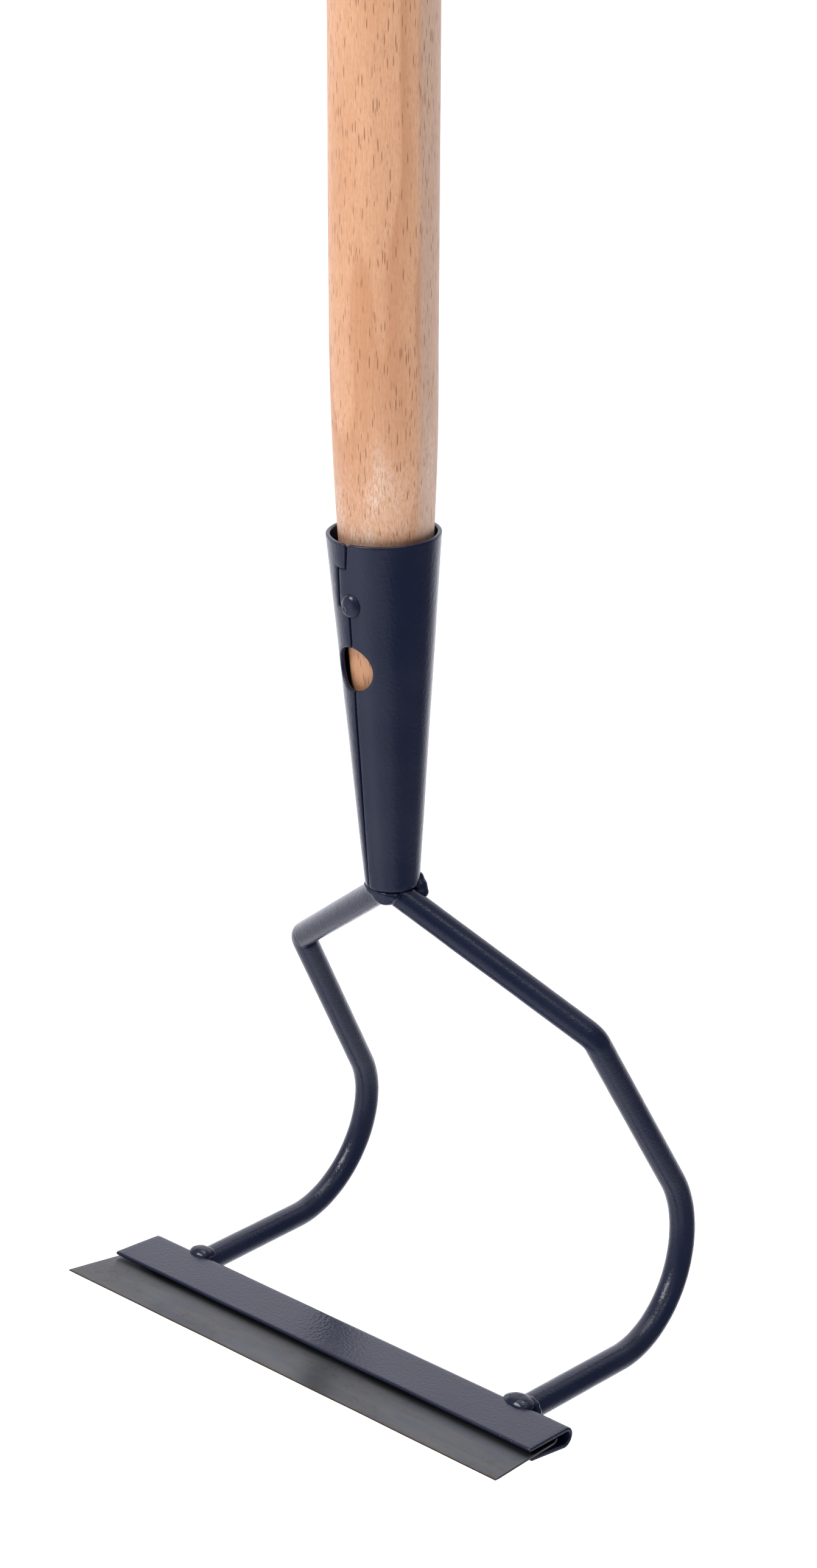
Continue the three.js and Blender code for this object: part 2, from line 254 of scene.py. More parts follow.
class NodeBench:
    """Lays out the nodes of one material."""

    def __init__(self, name: str) -> None:
        """Starts a material with an empty node tree.

        Args:
            name: the material's name.
        """
        self.material = bpy.data.materials.new(name)
        self.material.use_nodes = True
        self.tree = self.material.node_tree
        self.tree.nodes.clear()
        self.output = self.tree.nodes.new("ShaderNodeOutputMaterial")

    def node(self, kind: str, **settings: object) -> bpy.types.Node:
        """Adds a node and sets its properties.

        Args:
            kind: the node's type name.
            **settings: properties of the node.

        Returns:
            The node.
        """
        made = self.tree.nodes.new(kind)
        for key, value in settings.items():
            setattr(made, key, value)
        return made

    def link(self, source: bpy.types.NodeSocket, target: bpy.types.NodeSocket) -> None:
        """Joins two sockets."""
        self.tree.links.new(source, target)

    def feed(self, target: bpy.types.NodeSocket, value: object) -> None:
        """Links a socket or sets a constant.

        Args:
            target: the socket to feed.
            value: another socket, or a number, vector or colour.
        """
        if isinstance(value, bpy.types.NodeSocket):
            self.link(value, target)
        else:
            target.default_value = value

    def axes(self) -> bpy.types.Node:
        """The piece's own x, y and z, in metres."""
        split = self.node("ShaderNodeSeparateXYZ")
        self.link(self.node("ShaderNodeTexCoord").outputs["Object"], split.inputs["Vector"])
        return split

    def place(self, scale: Sequence[float]) -> bpy.types.NodeSocket:
        """The piece's own coordinates, scaled.

        Args:
            scale: features per metre along each axis.

        Returns:
            The vector.
        """
        here = self.node("ShaderNodeTexCoord").outputs["Object"]
        mapping = self.node("ShaderNodeMapping")
        mapping.inputs["Scale"].default_value = scale
        self.link(here, mapping.inputs["Vector"])
        return mapping.outputs["Vector"]

    def noise(self, vector: object, detail: float = 2.0, roughness: float = 0.5,
              scale: float = 1.0) -> bpy.types.NodeSocket:
        """A noise value from 0 to 1.

        Args:
            vector: where to read it.
            detail: octaves.
            roughness: weight of the finer octaves.
            scale: overall scale.

        Returns:
            The value.
        """
        made = self.node("ShaderNodeTexNoise", noise_dimensions="3D")
        self.feed(made.inputs["Vector"], vector)
        self.feed(made.inputs["Scale"], scale)
        self.feed(made.inputs["Detail"], detail)
        self.feed(made.inputs["Roughness"], roughness)
        return made.outputs["Fac"]

    def math(self, operation: str, first: object, second: object = 0.0) -> bpy.types.NodeSocket:
        """A sum or another operation on values.

        Args:
            operation: the Math node's operation.
            first: the first operand.
            second: the second operand.

        Returns:
            The result.
        """
        made = self.node("ShaderNodeMath", operation=operation)
        self.feed(made.inputs[0], first)
        self.feed(made.inputs[1], second)
        return made.outputs["Value"]

    def remap(self, value: object, low: float, high: float, to_low: float = 0.0,
              to_high: float = 1.0) -> bpy.types.NodeSocket:
        """Maps a range of a value onto another range, eased at both ends, and clamps it.

        Args:
            value: the value.
            low: start of the range.
            high: end of the range.
            to_low: result at the start.
            to_high: result at the end.

        Returns:
            The mapped value.
        """
        made = self.node("ShaderNodeMapRange", interpolation_type="SMOOTHSTEP")
        for key, item in (("Value", value), ("From Min", low), ("From Max", high),
                          ("To Min", to_low), ("To Max", to_high)):
            self.feed(made.inputs[key], item)
        return made.outputs["Result"]

    def mix(self, amount: object, first: object, second: object) -> bpy.types.NodeSocket:
        """Mixes two colours.

        Args:
            amount: share of the second.
            first: a colour.
            second: a colour.

        Returns:
            The mixed colour.
        """
        made = self.node("ShaderNodeMix", data_type="RGBA")
        colours = [plug for plug in made.inputs if plug.type == "RGBA"]
        self.feed(made.inputs["Factor"], amount)
        self.feed(colours[0], first)
        self.feed(colours[1], second)
        return next(plug for plug in made.outputs if plug.type == "RGBA")

    def bump(self, height: object, depth_mm: float,
             below: bpy.types.NodeSocket | None = None) -> bpy.types.NodeSocket:
        """A surface relief.

        Args:
            height: from 0 to 1.
            depth_mm: what a height of 1 stands for.
            below: a coarser relief to add this one to.

        Returns:
            The normal.
        """
        made = self.node("ShaderNodeBump")
        made.inputs["Strength"].default_value = 1.0
        made.inputs["Distance"].default_value = depth_mm * MM
        self.feed(made.inputs["Height"], height)
        if below is not None:
            self.link(below, made.inputs["Normal"])
        return made.outputs["Normal"]

    def finish(self, **inputs: object) -> bpy.types.Material:
        """Adds the surface shader.

        Args:
            **inputs: values or sockets for the Principled shader, with _ for a space.

        Returns:
            The finished material.
        """
        shader = self.node("ShaderNodeBsdfPrincipled")
        for key, value in inputs.items():
            self.feed(shader.inputs[key.replace("_", " ")], value)
        self.link(shader.outputs["BSDF"], self.output.inputs["Surface"])
        return self.material


@dataclass(frozen=True)
class PowderCoat:
    """Dark navy powder coat, glossy, with an orange-peel skin.

    Attributes:
        name: the material's name.
        colour: the pigment.
        faded: the pigment where the coat is thin.
        peel_mm: size of the skin's bumps.
        peel_depth_mm: height of the skin's bumps.
        grit_depth_mm: height of the finer wrinkles on them.
    """

    name: str = "navy_powder_coat"
    colour: Colour = (0.0075, 0.0125, 0.036, 1)
    faded: Colour = (0.0125, 0.017, 0.043, 1)
    peel_mm: float = 0.95
    peel_depth_mm: float = 0.075
    grit_depth_mm: float = 0.028

    def material(self) -> bpy.types.Material:
        """Builds the material."""
        bench = NodeBench(self.name)
        per_metre = 1 / (self.peel_mm * MM)
        peel_place = bench.place((per_metre,) * 3)
        peel = bench.noise(peel_place, detail=1.0, roughness=0.4)
        grit = bench.noise(peel_place, detail=3.0, roughness=0.6, scale=2.6)
        cloud = bench.noise(bench.place((35.0,) * 3), detail=3.0)
        colour = bench.mix(bench.remap(cloud, 0.35, 0.75), self.colour, self.faded)
        relief = bench.bump(peel, self.peel_depth_mm)
        relief = bench.bump(grit, self.grit_depth_mm, below=relief)
        gloss = bench.remap(cloud, 0.3, 0.7, 0.14, 0.22)
        return bench.finish(Base_Color=colour, Roughness=gloss, IOR=1.52, Normal=relief)


@dataclass(frozen=True)
class Beech:
    """Turned beech: flame-shaped rings, short dark rays, a painted highlight down one side, a dry zone and
    painted shade inside the socket.

    Attributes:
        name: the material's name.
        early: the pale wood of a growth ring.
        late: the darker wood of a growth ring.
        streak: paler streaks along the grain.
        band: broad redder bands along the grain.
        fibre: the fine dark fibres.
        fleck: the short brown flecks.
        ray: the short dark rays.
        painted_sheen: a pale grey painted highlight down one side of the shaft, where the sealed wood
            catches the light.
        dry: raised white fibres near the mouth, where the wood was shaved.
        socket_shade: wood darkened inside the socket, painted shade where the socket covers it.
        mouth_height: height of the socket's mouth, in metres.
        mouth_fade_mm: how softly the wood changes just below the mouth.
        pith: (x, y) of the tree's middle, in millimetres.
        wander_mm: how far the rings stray along the shaft.
        ring_mm: width of a growth ring.
        ray_length_mm: spacing of the rays along the grain.
        ray_spacing_mm: spacing of the rays across the grain.
        sheen_towards: (x, y) direction of the painted highlight's middle.
        sheen_start_mm: how far out the painted highlight starts.
        sheen_soft_mm: width of its border.
        sheen_ragged_mm: how ragged its border is.
        dry_start_mm: how far above the mouth the dry zone begins to end.
        dry_end_mm: how far above the mouth it has ended.
        dry_ragged_mm: how ragged its end is.
    """

    name: str = "turned_beech"
    early: Colour = (0.81, 0.45, 0.265, 1)
    late: Colour = (0.62, 0.285, 0.145, 1)
    streak: Colour = (0.74, 0.45, 0.28, 1)
    band: Colour = (0.68, 0.33, 0.17, 1)
    fibre: Colour = (0.50, 0.23, 0.11, 1)
    fleck: Colour = (0.52, 0.25, 0.11, 1)
    ray: Colour = (0.20, 0.055, 0.02, 1)
    painted_sheen: Colour = (0.66, 0.48, 0.38, 1)
    dry: Colour = (0.84, 0.72, 0.63, 1)
    socket_shade: Colour = (0.47, 0.22, 0.11, 1)
    mouth_height: float = 0.0
    mouth_fade_mm: float = 6.0
    pith: Point2 = (-12.0, 36.0)
    wander_mm: float = 34.0
    ring_mm: float = 5.0
    ray_length_mm: float = 5.6
    ray_spacing_mm: float = 0.5
    sheen_towards: Point2 = (0.906, 0.423)
    sheen_start_mm: float = 11.6
    sheen_soft_mm: float = 2.2
    sheen_ragged_mm: float = 1.6
    dry_start_mm: float = 28.0
    dry_end_mm: float = 62.0
    dry_ragged_mm: float = 50.0

    def material(self) -> bpy.types.Material:
        """Builds the material."""
        bench = NodeBench(self.name)
        fibres = bench.noise(bench.place((3400, 3400, 170)), detail=4.0, roughness=0.65)
        flecks = bench.noise(bench.place((2100, 2100, 620)), detail=3.0, roughness=0.6)
        dryness = self.dryness(bench, flecks)
        shaved = bench.remap(dryness, 0.0, 0.6, 1.0, 0.35)
        rays = bench.math("MULTIPLY", self.rays(bench), shaved)
        wood = self.grain(bench, fibres, flecks)
        wood = bench.mix(bench.math("MULTIPLY", dryness, 0.7), wood, self.dry)
        # painted shade: the wood inside the socket is darkened below the mouth
        wood = bench.mix(self.inside(bench), wood, self.socket_shade)
        wood = bench.mix(bench.math("MULTIPLY", rays, 0.6), wood, self.ray)
        relief = bench.bump(fibres, 0.035)
        relief = bench.bump(bench.math("SUBTRACT", 1.0, rays), 0.05, below=relief)
        sealed = bench.remap(fibres, 0.3, 0.7, 0.36, 0.52)
        gloss = bench.math("ADD", bench.math("MULTIPLY", dryness, 0.3), sealed)
        return bench.finish(Base_Color=wood, Roughness=gloss, IOR=1.45, Normal=relief)

    def grain(self, bench: NodeBench, fibres: bpy.types.NodeSocket,
              flecks: bpy.types.NodeSocket) -> bpy.types.NodeSocket:
        """The wood's colour before its dry zone and its rays.

        Args:
            bench: the material's bench.
            fibres: the fine fibres.
            flecks: the short flecks.

        Returns:
            The colour.
        """
        streaks = bench.noise(bench.place((900, 900, 14)), detail=3.0, roughness=0.6)
        bands = bench.noise(bench.place((60, 60, 7)), detail=3.0)
        wood = bench.mix(self.rings(bench), self.early, self.late)
        wood = bench.mix(bench.remap(streaks, 0.35, 0.7, 0.0, 0.35), wood, self.streak)
        wood = bench.mix(bench.remap(bands, 0.35, 0.68, 0.0, 0.30), wood, self.band)
        # painted highlight: a pale grey band down one side of the shaft stands in for the sealed wood's
        # sheen
        wood = bench.mix(self.painted_sheen_band(bench), wood, self.painted_sheen)
        wood = bench.mix(bench.remap(fibres, 0.38, 0.68, 0.0, 0.34), wood, self.fibre)
        return bench.mix(bench.remap(flecks, 0.45, 0.66, 0.0, 0.32), wood, self.fleck)

    def rings(self, bench: NodeBench) -> bpy.types.NodeSocket:
        """Growth rings around a pith outside the shaft, which run out as tall flames.

        Args:
            bench: the material's bench.

        Returns:
            0 in early wood and 1 in late wood.
        """
        split = bench.axes()
        drift = bench.noise(bench.place((26, 26, 5.5)), detail=2.0, roughness=0.45)
        wander = bench.math("MULTIPLY", bench.math("SUBTRACT", drift, 0.5), self.wander_mm * MM)
        side = bench.math("SUBTRACT", split.outputs["X"], self.pith[0] * MM)
        deep = bench.math("ADD", bench.math("SUBTRACT", self.pith[1] * MM, split.outputs["Y"]), wander)
        squares = bench.math("ADD", bench.math("MULTIPLY", side, side), bench.math("MULTIPLY", deep, deep))
        from_pith = bench.math("SQRT", squares)
        turn = bench.math("FRACT", bench.math("MULTIPLY", from_pith, 1 / (self.ring_mm * MM)))
        rise = bench.remap(turn, 0.1, 0.9)
        fall = bench.remap(turn, 0.9, 0.99, 1.0, 0.0)
        return bench.math("MULTIPLY", bench.math("MULTIPLY", rise, fall), 0.8)

    def rays(self, bench: NodeBench) -> bpy.types.NodeSocket:
        """Short dark rays along the grain.

        Args:
            bench: the material's bench.

        Returns:
            1 inside a ray.
        """
        across = 1 / (self.ray_spacing_mm * MM)
        here = bench.place((across, across, 1 / (self.ray_length_mm * MM)))
        sway = bench.node("ShaderNodeTexNoise", noise_dimensions="3D")
        bench.link(bench.place((60, 60, 40)), sway.inputs["Vector"])
        sway.inputs["Scale"].default_value = 1.0
        shifted = bench.node("ShaderNodeVectorMath", operation="MULTIPLY_ADD")
        bench.link(sway.outputs["Color"], shifted.inputs[0])
        shifted.inputs[1].default_value = (3.0, 3.0, 0.0)
        bench.link(here, shifted.inputs[2])
        cells = bench.node("ShaderNodeTexVoronoi", feature="F1", distance="EUCLIDEAN")
        bench.link(shifted.outputs["Vector"], cells.inputs["Vector"])
        cells.inputs["Scale"].default_value = 1.0
        split = bench.node("ShaderNodeSeparateColor")
        bench.link(cells.outputs["Color"], split.inputs["Color"])
        size = bench.remap(split.outputs["Green"], 0.0, 1.0, 0.15, 0.42)
        shape = bench.math("SUBTRACT", 1.0, bench.math("DIVIDE", cells.outputs["Distance"], size))
        chosen = bench.remap(split.outputs["Red"], 0.22, 0.45)
        return bench.math("MULTIPLY", bench.remap(shape, 0.0, 0.45), chosen)

    def painted_sheen_band(self, bench: NodeBench) -> bpy.types.NodeSocket:
        """The painted highlight down one side of the shaft, with a soft ragged border.

        Args:
            bench: the material's bench.

        Returns:
            How much of the painted highlight shows.
        """
        split = bench.axes()
        sideways = bench.math("MULTIPLY", split.outputs["X"], self.sheen_towards[0])
        deep = bench.math("MULTIPLY", split.outputs["Y"], self.sheen_towards[1])
        reach = bench.math("ADD", sideways, deep)
        ragged = bench.noise(bench.place((500, 500, 12)), detail=3.0)
        reach = bench.math("ADD", reach, bench.math("MULTIPLY", ragged, self.sheen_ragged_mm * MM))
        start = self.sheen_start_mm * MM
        return bench.remap(reach, start, start + self.sheen_soft_mm * MM, 0.0, 0.85)

    def inside(self, bench: NodeBench) -> bpy.types.NodeSocket:
        """How much of the painted shade inside the socket shows: none above the mouth."""
        low = self.mouth_height - self.mouth_fade_mm * MM
        return bench.remap(bench.axes().outputs["Z"], low, self.mouth_height, 0.4, 0.0)

    def dryness(self, bench: NodeBench, flecks: bpy.types.NodeSocket) -> bpy.types.NodeSocket:
        """Patches of raised white fibre above the mouth.

        Args:
            bench: the material's bench.
            flecks: the short flecks, between which the white shows.

        Returns:
            1 where the wood is driest.
        """
        up = bench.axes().outputs["Z"]
        ragged = bench.noise(bench.place((160, 160, 34)), detail=3.0)
        height = bench.math("ADD", up, bench.math("MULTIPLY", ragged, self.dry_ragged_mm * MM))
        start = self.mouth_height + self.dry_start_mm * MM
        end = self.mouth_height + self.dry_end_mm * MM
        fade = self.mouth_fade_mm * MM
        above = bench.remap(up, self.mouth_height - fade, self.mouth_height - fade / 3)
        zone = bench.math("MULTIPLY", bench.remap(height, start, end, 1.0, 0.0), above)
        patch = bench.remap(bench.noise(bench.place((95, 95, 42)), detail=2.0), 0.38, 0.6, 0.25, 1.0)
        speck = bench.remap(flecks, 0.36, 0.6, 1.0, 0.15)
        return bench.math("MULTIPLY", bench.math("MULTIPLY", zone, patch), speck)


@dataclass(frozen=True)
class BareSteel:
    """Rolled strip steel with lengthwise rolling lines, a blue-grey bloom and a brown burr on its edge.

    Attributes:
        name: the material's name.
        colour: the steel's colour.
        fine_line: the finest rolling lines.
        broad_line: the broader rolling lines.
        bloom: the blue-grey clouds.
        stain: the brown tarnish.
        rust: the burr along the cutting edge.
        roughness: of the rolled face.
        brushed: how much more the gloss spreads across the rolling lines than along them.
        edge_y: where the sheared cutting edge lies, in metres.
        burr_mm: width of the burr.
        burr_ragged_mm: how ragged the burr is.
    """

    name: str = "rolled_strip_steel"
    colour: Colour = (0.166, 0.169, 0.170, 1)
    fine_line: Colour = (0.11, 0.11, 0.11, 1)
    broad_line: Colour = (0.115, 0.12, 0.125, 1)
    bloom: Colour = (0.125, 0.140, 0.160, 1)
    stain: Colour = (0.125, 0.100, 0.085, 1)
    rust: Colour = (0.13, 0.085, 0.05, 1)
    roughness: float = 0.31
    brushed: float = 0.97
    edge_y: float = 0.0
    burr_mm: float = 0.9
    burr_ragged_mm: float = 1.2

    def material(self) -> bpy.types.Material:
        """Builds the material."""
        bench = NodeBench(self.name)
        fine = bench.noise(bench.place((12, 3600, 3600)), detail=3.0, roughness=0.6)
        lines = bench.noise(bench.place((5, 1100, 1100)), detail=2.0, roughness=0.6)
        broad = bench.noise(bench.place((22, 70, 70)), detail=3.0, roughness=0.6)
        spots = bench.noise(bench.place((420, 420, 420)), detail=4.0, roughness=0.7)
        clouds = bench.noise(bench.place((55, 190, 190)), detail=4.0, roughness=0.6)
        tarnish = bench.math("MULTIPLY", bench.remap(spots, 0.5, 0.72), bench.remap(broad, 0.35, 0.65))
        steel = bench.mix(bench.remap(fine, 0.3, 0.7, 0.0, 0.35), self.colour, self.fine_line)
        steel = bench.mix(bench.remap(lines, 0.5, 0.75, 0.0, 0.4), steel, self.broad_line)
        steel = bench.mix(bench.remap(clouds, 0.42, 0.68, 0.0, 0.75), steel, self.bloom)
        steel = bench.mix(tarnish, steel, self.stain)
        steel = bench.mix(self.burr(bench, spots), steel, self.rust)
        gloss = bench.remap(broad, 0.3, 0.7, self.roughness - 0.03, self.roughness + 0.05)
        across = bench.node("ShaderNodeCombineXYZ")
        across.inputs["Y"].default_value = 1.0
        return bench.finish(Base_Color=steel, Metallic=1.0, Roughness=gloss, Normal=bench.bump(fine, 0.003),
                            Anisotropic=self.brushed, Tangent=across.outputs["Vector"])

    def burr(self, bench: NodeBench, spots: bpy.types.NodeSocket) -> bpy.types.NodeSocket:
        """The brown burr along the sheared cutting edge.

        Args:
            bench: the material's bench.
            spots: a fine noise that makes it ragged.

        Returns:
            How much of the burr's colour shows.
        """
        ragged = self.burr_ragged_mm * MM
        start = self.edge_y - ragged / 2
        reach = bench.math("SUBTRACT", bench.axes().outputs["Y"], bench.math("MULTIPLY", spots, ragged))
        return bench.remap(reach, start, start + self.burr_mm * MM, 0.8, 0.0)


@dataclass(frozen=True)
class ZincPlate:
    """Bright zinc plating, a little mottled.

    Attributes:
        name: the material's name.
        colour: the plating.
        dull: the plating where it has clouded.
    """

    name: str = "zinc_plate"
    colour: Colour = (0.52, 0.53, 0.54, 1)
    dull: Colour = (0.33, 0.33, 0.33, 1)

    def material(self) -> bpy.types.Material:
        """Builds the material."""
        bench = NodeBench(self.name)
        mottle = bench.noise(bench.place((900, 900, 900)), detail=4.0, roughness=0.65)
        colour = bench.mix(bench.remap(mottle, 0.35, 0.7), self.colour, self.dull)
        gloss = bench.remap(mottle, 0.3, 0.7, 0.22, 0.42)
        relief = bench.bump(mottle, 0.008)
        return bench.finish(Base_Color=colour, Metallic=1.0, Roughness=gloss, Normal=relief)


@dataclass(frozen=True)
class StudioPaper:
    """Matt white backdrop paper.

    Attributes:
        name: the material's name.
        colour: of the paper.
        fibre: of its darker fibres.
        glow: how much it shines by itself, so that it stays white far away.
    """

    name: str = "studio_paper"
    colour: Colour = (0.9, 0.9, 0.9, 1)
    fibre: Colour = (0.87, 0.87, 0.87, 1)
    glow: float = 0.75

    def material(self) -> bpy.types.Material:
        """Builds the material."""
        bench = NodeBench(self.name)
        fibres = bench.noise(bench.place((60, 60, 60)), detail=3.0)
        colour = bench.mix(bench.remap(fibres, 0.3, 0.7, 0.0, 0.3), self.colour, self.fibre)
        return bench.finish(Base_Color=colour, Roughness=0.9, Emission_Color=(1, 1, 1, 1),
                            Emission_Strength=self.glow)


# ---------------------------------------------------------------- shared shapes


@dataclass
class EasedBlank:
    """A flat sheet-metal blank with eased edges, bent to its shape as it is meshed.

    Attributes:
        outline: the blank's outline, anticlockwise.
        thickness: of the sheet.
        easing: radius of the painted edges.
        pitch: spacing of the points inside.
        edge_pitch: spacing of the points along the outline.
        rows: distances of the rows of points that round the edge over, as shares of its radius.
    """

    outline: list[Point2]
    thickness: float
    easing: float
    pitch: float
    edge_pitch: float = 0.7
    rows: Point3 = (0.15, 0.45, 0.95)

    def dense_outline(self, step: float) -> np.ndarray:
        """The outline with points no further apart than a step.

        Args:
            step: the longest distance.

        Returns:
            The points, one per row.
        """
        points = []
        corners = [np.array(p, float) for p in self.outline]
        for start, end in zip(corners, corners[1:] + corners[:1]):
            run = end - start
            count = max(1, math.ceil(float(np.hypot(*run)) / step))
            points.extend(start + run * i / count for i in range(count))
        return np.array(points)

    @staticmethod
    def clearance(points: np.ndarray, ring: np.ndarray) -> np.ndarray:
        """Distance from each point to a closed ring.

        Args:
            points: one point per row.
            ring: the ring's points.

        Returns:
            One distance per point.
        """
        best = np.full(len(points), np.inf)
        for start, end in zip(ring, np.roll(ring, -1, axis=0)):
            run = end - start
            share = np.clip((points - start) @ run / (run @ run), 0, 1)
            best = np.minimum(best, np.hypot(*(points - start - share[:, None] * run).T))
        return best

    @staticmethod
    def inside(points: np.ndarray, ring: np.ndarray) -> np.ndarray:
        """Whether each point is inside a closed ring.

        Args:
            points: one point per row.
            ring: the ring's points.

        Returns:
            One truth value per point.
        """
        x, y = points.T
        within = np.zeros(len(points), bool)
        for (ax, ay), (bx, by) in zip(ring, np.roll(ring, -1, axis=0)):
            if ay == by:
                continue
            crosses = (ay > y) != (by > y)
            within ^= crosses & (x < (bx - ax) * (y - ay) / (by - ay) + ax)
        return within

    def bands(self, ring: np.ndarray) -> np.ndarray:
        """Rows of points just inside the outline, where the edge rounds over.

        Args:
            ring: the dense outline.

        Returns:
            The points.
        """
        before = ring - np.roll(ring, 1, axis=0)
        after = np.roll(ring, -1, axis=0) - ring
        along = before / np.hypot(*before.T)[:, None] + after / np.hypot(*after.T)[:, None]
        along /= np.maximum(np.hypot(*along.T), 1e-9)[:, None]
        inward = np.stack([-along[:, 1], along[:, 0]], axis=1)
        kept = []
        for share in self.rows:
            row = ring + inward * share * self.easing
            clear = self.clearance(row, ring) > 0.9 * share * self.easing
            kept.append(row[clear])
        return np.concatenate(kept)

    def fill(self, ring: np.ndarray) -> np.ndarray:
        """A lattice of points well inside the outline.

        Args:
            ring: the dense outline.

        Returns:
            The points.
        """
        low, high = ring.min(axis=0), ring.max(axis=0)
        xs = np.arange(low[0], high[0], self.pitch)
        ys = np.arange(low[1], high[1], self.pitch)
        lattice = np.array([(x, y) for y in ys for x in xs])
        lattice = lattice[self.inside(lattice, ring)]
        return lattice[self.clearance(lattice, ring) > self.easing + 0.35 * self.pitch]

    def draft(self, bend: Callable[[float, float, float], Sequence[float]]) -> Draft:
        """Meshes the blank and bends it.

        Args:
            bend: turns a place on the blank and a depth below its outside into a point.

        Returns:
            The closed draft.
        """
        ring = self.dense_outline(self.edge_pitch)
        count = len(ring)
        points = np.concatenate([ring, self.bands(ring), self.fill(ring)])
        edges = [(i, (i + 1) % count) for i in range(count)]
        flat, _, faces, _, _, _ = delaunay_2d_cdt([Vector(p) for p in points], edges, [], 1, 1e-6)
        spots = np.array([tuple(p) for p in flat])
        reach = np.minimum(self.clearance(spots, ring), self.easing)
        drop = self.easing - np.sqrt(np.maximum(self.easing**2 - (self.easing - reach) ** 2, 0))
        made = Draft()
        outer = made.add([bend(x, y, d) for (x, y), d in zip(spots, drop)])
        inner = made.add([bend(x, y, self.thickness - d) for (x, y), d in zip(spots, drop)])
        made.faces.extend(tuple(outer[i] for i in face) for face in faces)
        made.faces.extend(tuple(inner[i] for i in reversed(face)) for face in faces)
        self.close_rim(made, faces, outer, inner)
        return made

    @staticmethod
    def close_rim(made: Draft, faces: list[list[int]], outer: list[int], inner: list[int]) -> None:
        """Joins the two skins along their free edges.

        Args:
            made: the draft.
            faces: the triangles of one skin.
            outer: indices of the outside points.
            inner: indices of the inside points.
        """
        free: dict[tuple[int, int], None] = {}
        for face in faces:
            for a, b in zip(face, face[1:] + face[:1]):
                if (b, a) in free:
                    del free[(b, a)]
                else:
                    free[(a, b)] = None
        for a, b in free:
            made.faces.append((outer[b], outer[a], inner[a], inner[b]))


@dataclass
class Strip:
    """A strip drawn as a centre line with a half thickness, and run along X.

    Attributes:
        centre: (y, z) points along the centre line.
        half: half the thickness at each point.
        half_length: half the run along X at each point.
        easing: how much the ends are rounded.
        waver: how far the strip strays, in millimetres, at each point.
    """

    centre: list[Point2]
    half: list[float]
    half_length: list[float]
    easing: float
    waver: list[float]

    def sides(self, inset: float) -> tuple[list[Point2], list[Point2]]:
        """The two faces of the section.

        Args:
            inset: how far the section is drawn in, near the ends.

        Returns:
            The (y, z) points of one face and of the other.
        """
        above, below = [], []
        last = len(self.centre) - 1
        for i, (y, z) in enumerate(self.centre):
            before, after = self.centre[max(i - 1, 0)], self.centre[min(i + 1, last)]
            run = math.hypot(after[0] - before[0], after[1] - before[1])
            normal = (-(after[1] - before[1]) / run, (after[0] - before[0]) / run)
            reach = max(self.half[i] - inset, 0.02 if self.half[i] > 0 else 0.0)
            above.append((y + normal[0] * reach, z + normal[1] * reach))
            below.append((y - normal[0] * reach, z - normal[1] * reach))
        return above, below

    def draft(self, steps: int) -> Draft:
        """Meshes the strip.

        Args:
            steps: sections along X.

        Returns:
            The closed draft.
        """
        made = Draft()
        rows = []
        for share, inset in self.stations(steps):
            above, below = self.sides(inset)
            row = []
            for i, (y, z) in enumerate(above):
                row.append(self.spot(i, share, y, z))
            for i in reversed(range(len(below))):
                row.append(self.spot(i, share, *below[i]))
            rows.append(made.add(row))
        for lower, upper in zip(rows, rows[1:]):
            made.bridge(lower, upper)
        count = len(self.centre)
        for row in (rows[0], rows[-1]):
            for i in range(count - 1):
                made.faces.append((row[i], row[i + 1], row[2 * count - 2 - i], row[2 * count - 1 - i]))
        return made

    def stations(self, steps: int) -> list[tuple[float, float]]:
        """Places along X as a share from -1 to 1, with the inset there.

        Args:
            steps: sections along X.

        Returns:
            The (share, inset) pairs.
        """
        length = max(self.half_length)
        quarter_round = [(0.0, 1.0), (0.12, 0.53), (0.3, 0.29), (0.6, 0.08), (1.0, 0.0)]
        left = [(-1 + s * self.easing / length, inset * self.easing) for s, inset in quarter_round]
        span = 1 - self.easing / length
        middle = [(-span + 2 * span * i / steps, 0.0) for i in range(1, steps)]
        right = [(-share, inset) for share, inset in reversed(left)]
        return left + middle + right

    def spot(self, index: int, share: float, y: float, z: float) -> Point3:
        """A point of the section at one place along X.

        Args:
            index: which point of the centre line.
            share: from -1 to 1 along X.
            y: the point's y.
            z: the point's z.

        Returns:
            The point.
        """
        x = share * self.half_length[index]
        stray = self.waver[index] * noise.noise(Vector((x * 0.045, index * 0.01, 3.7)))
        return (x, y, z + stray)


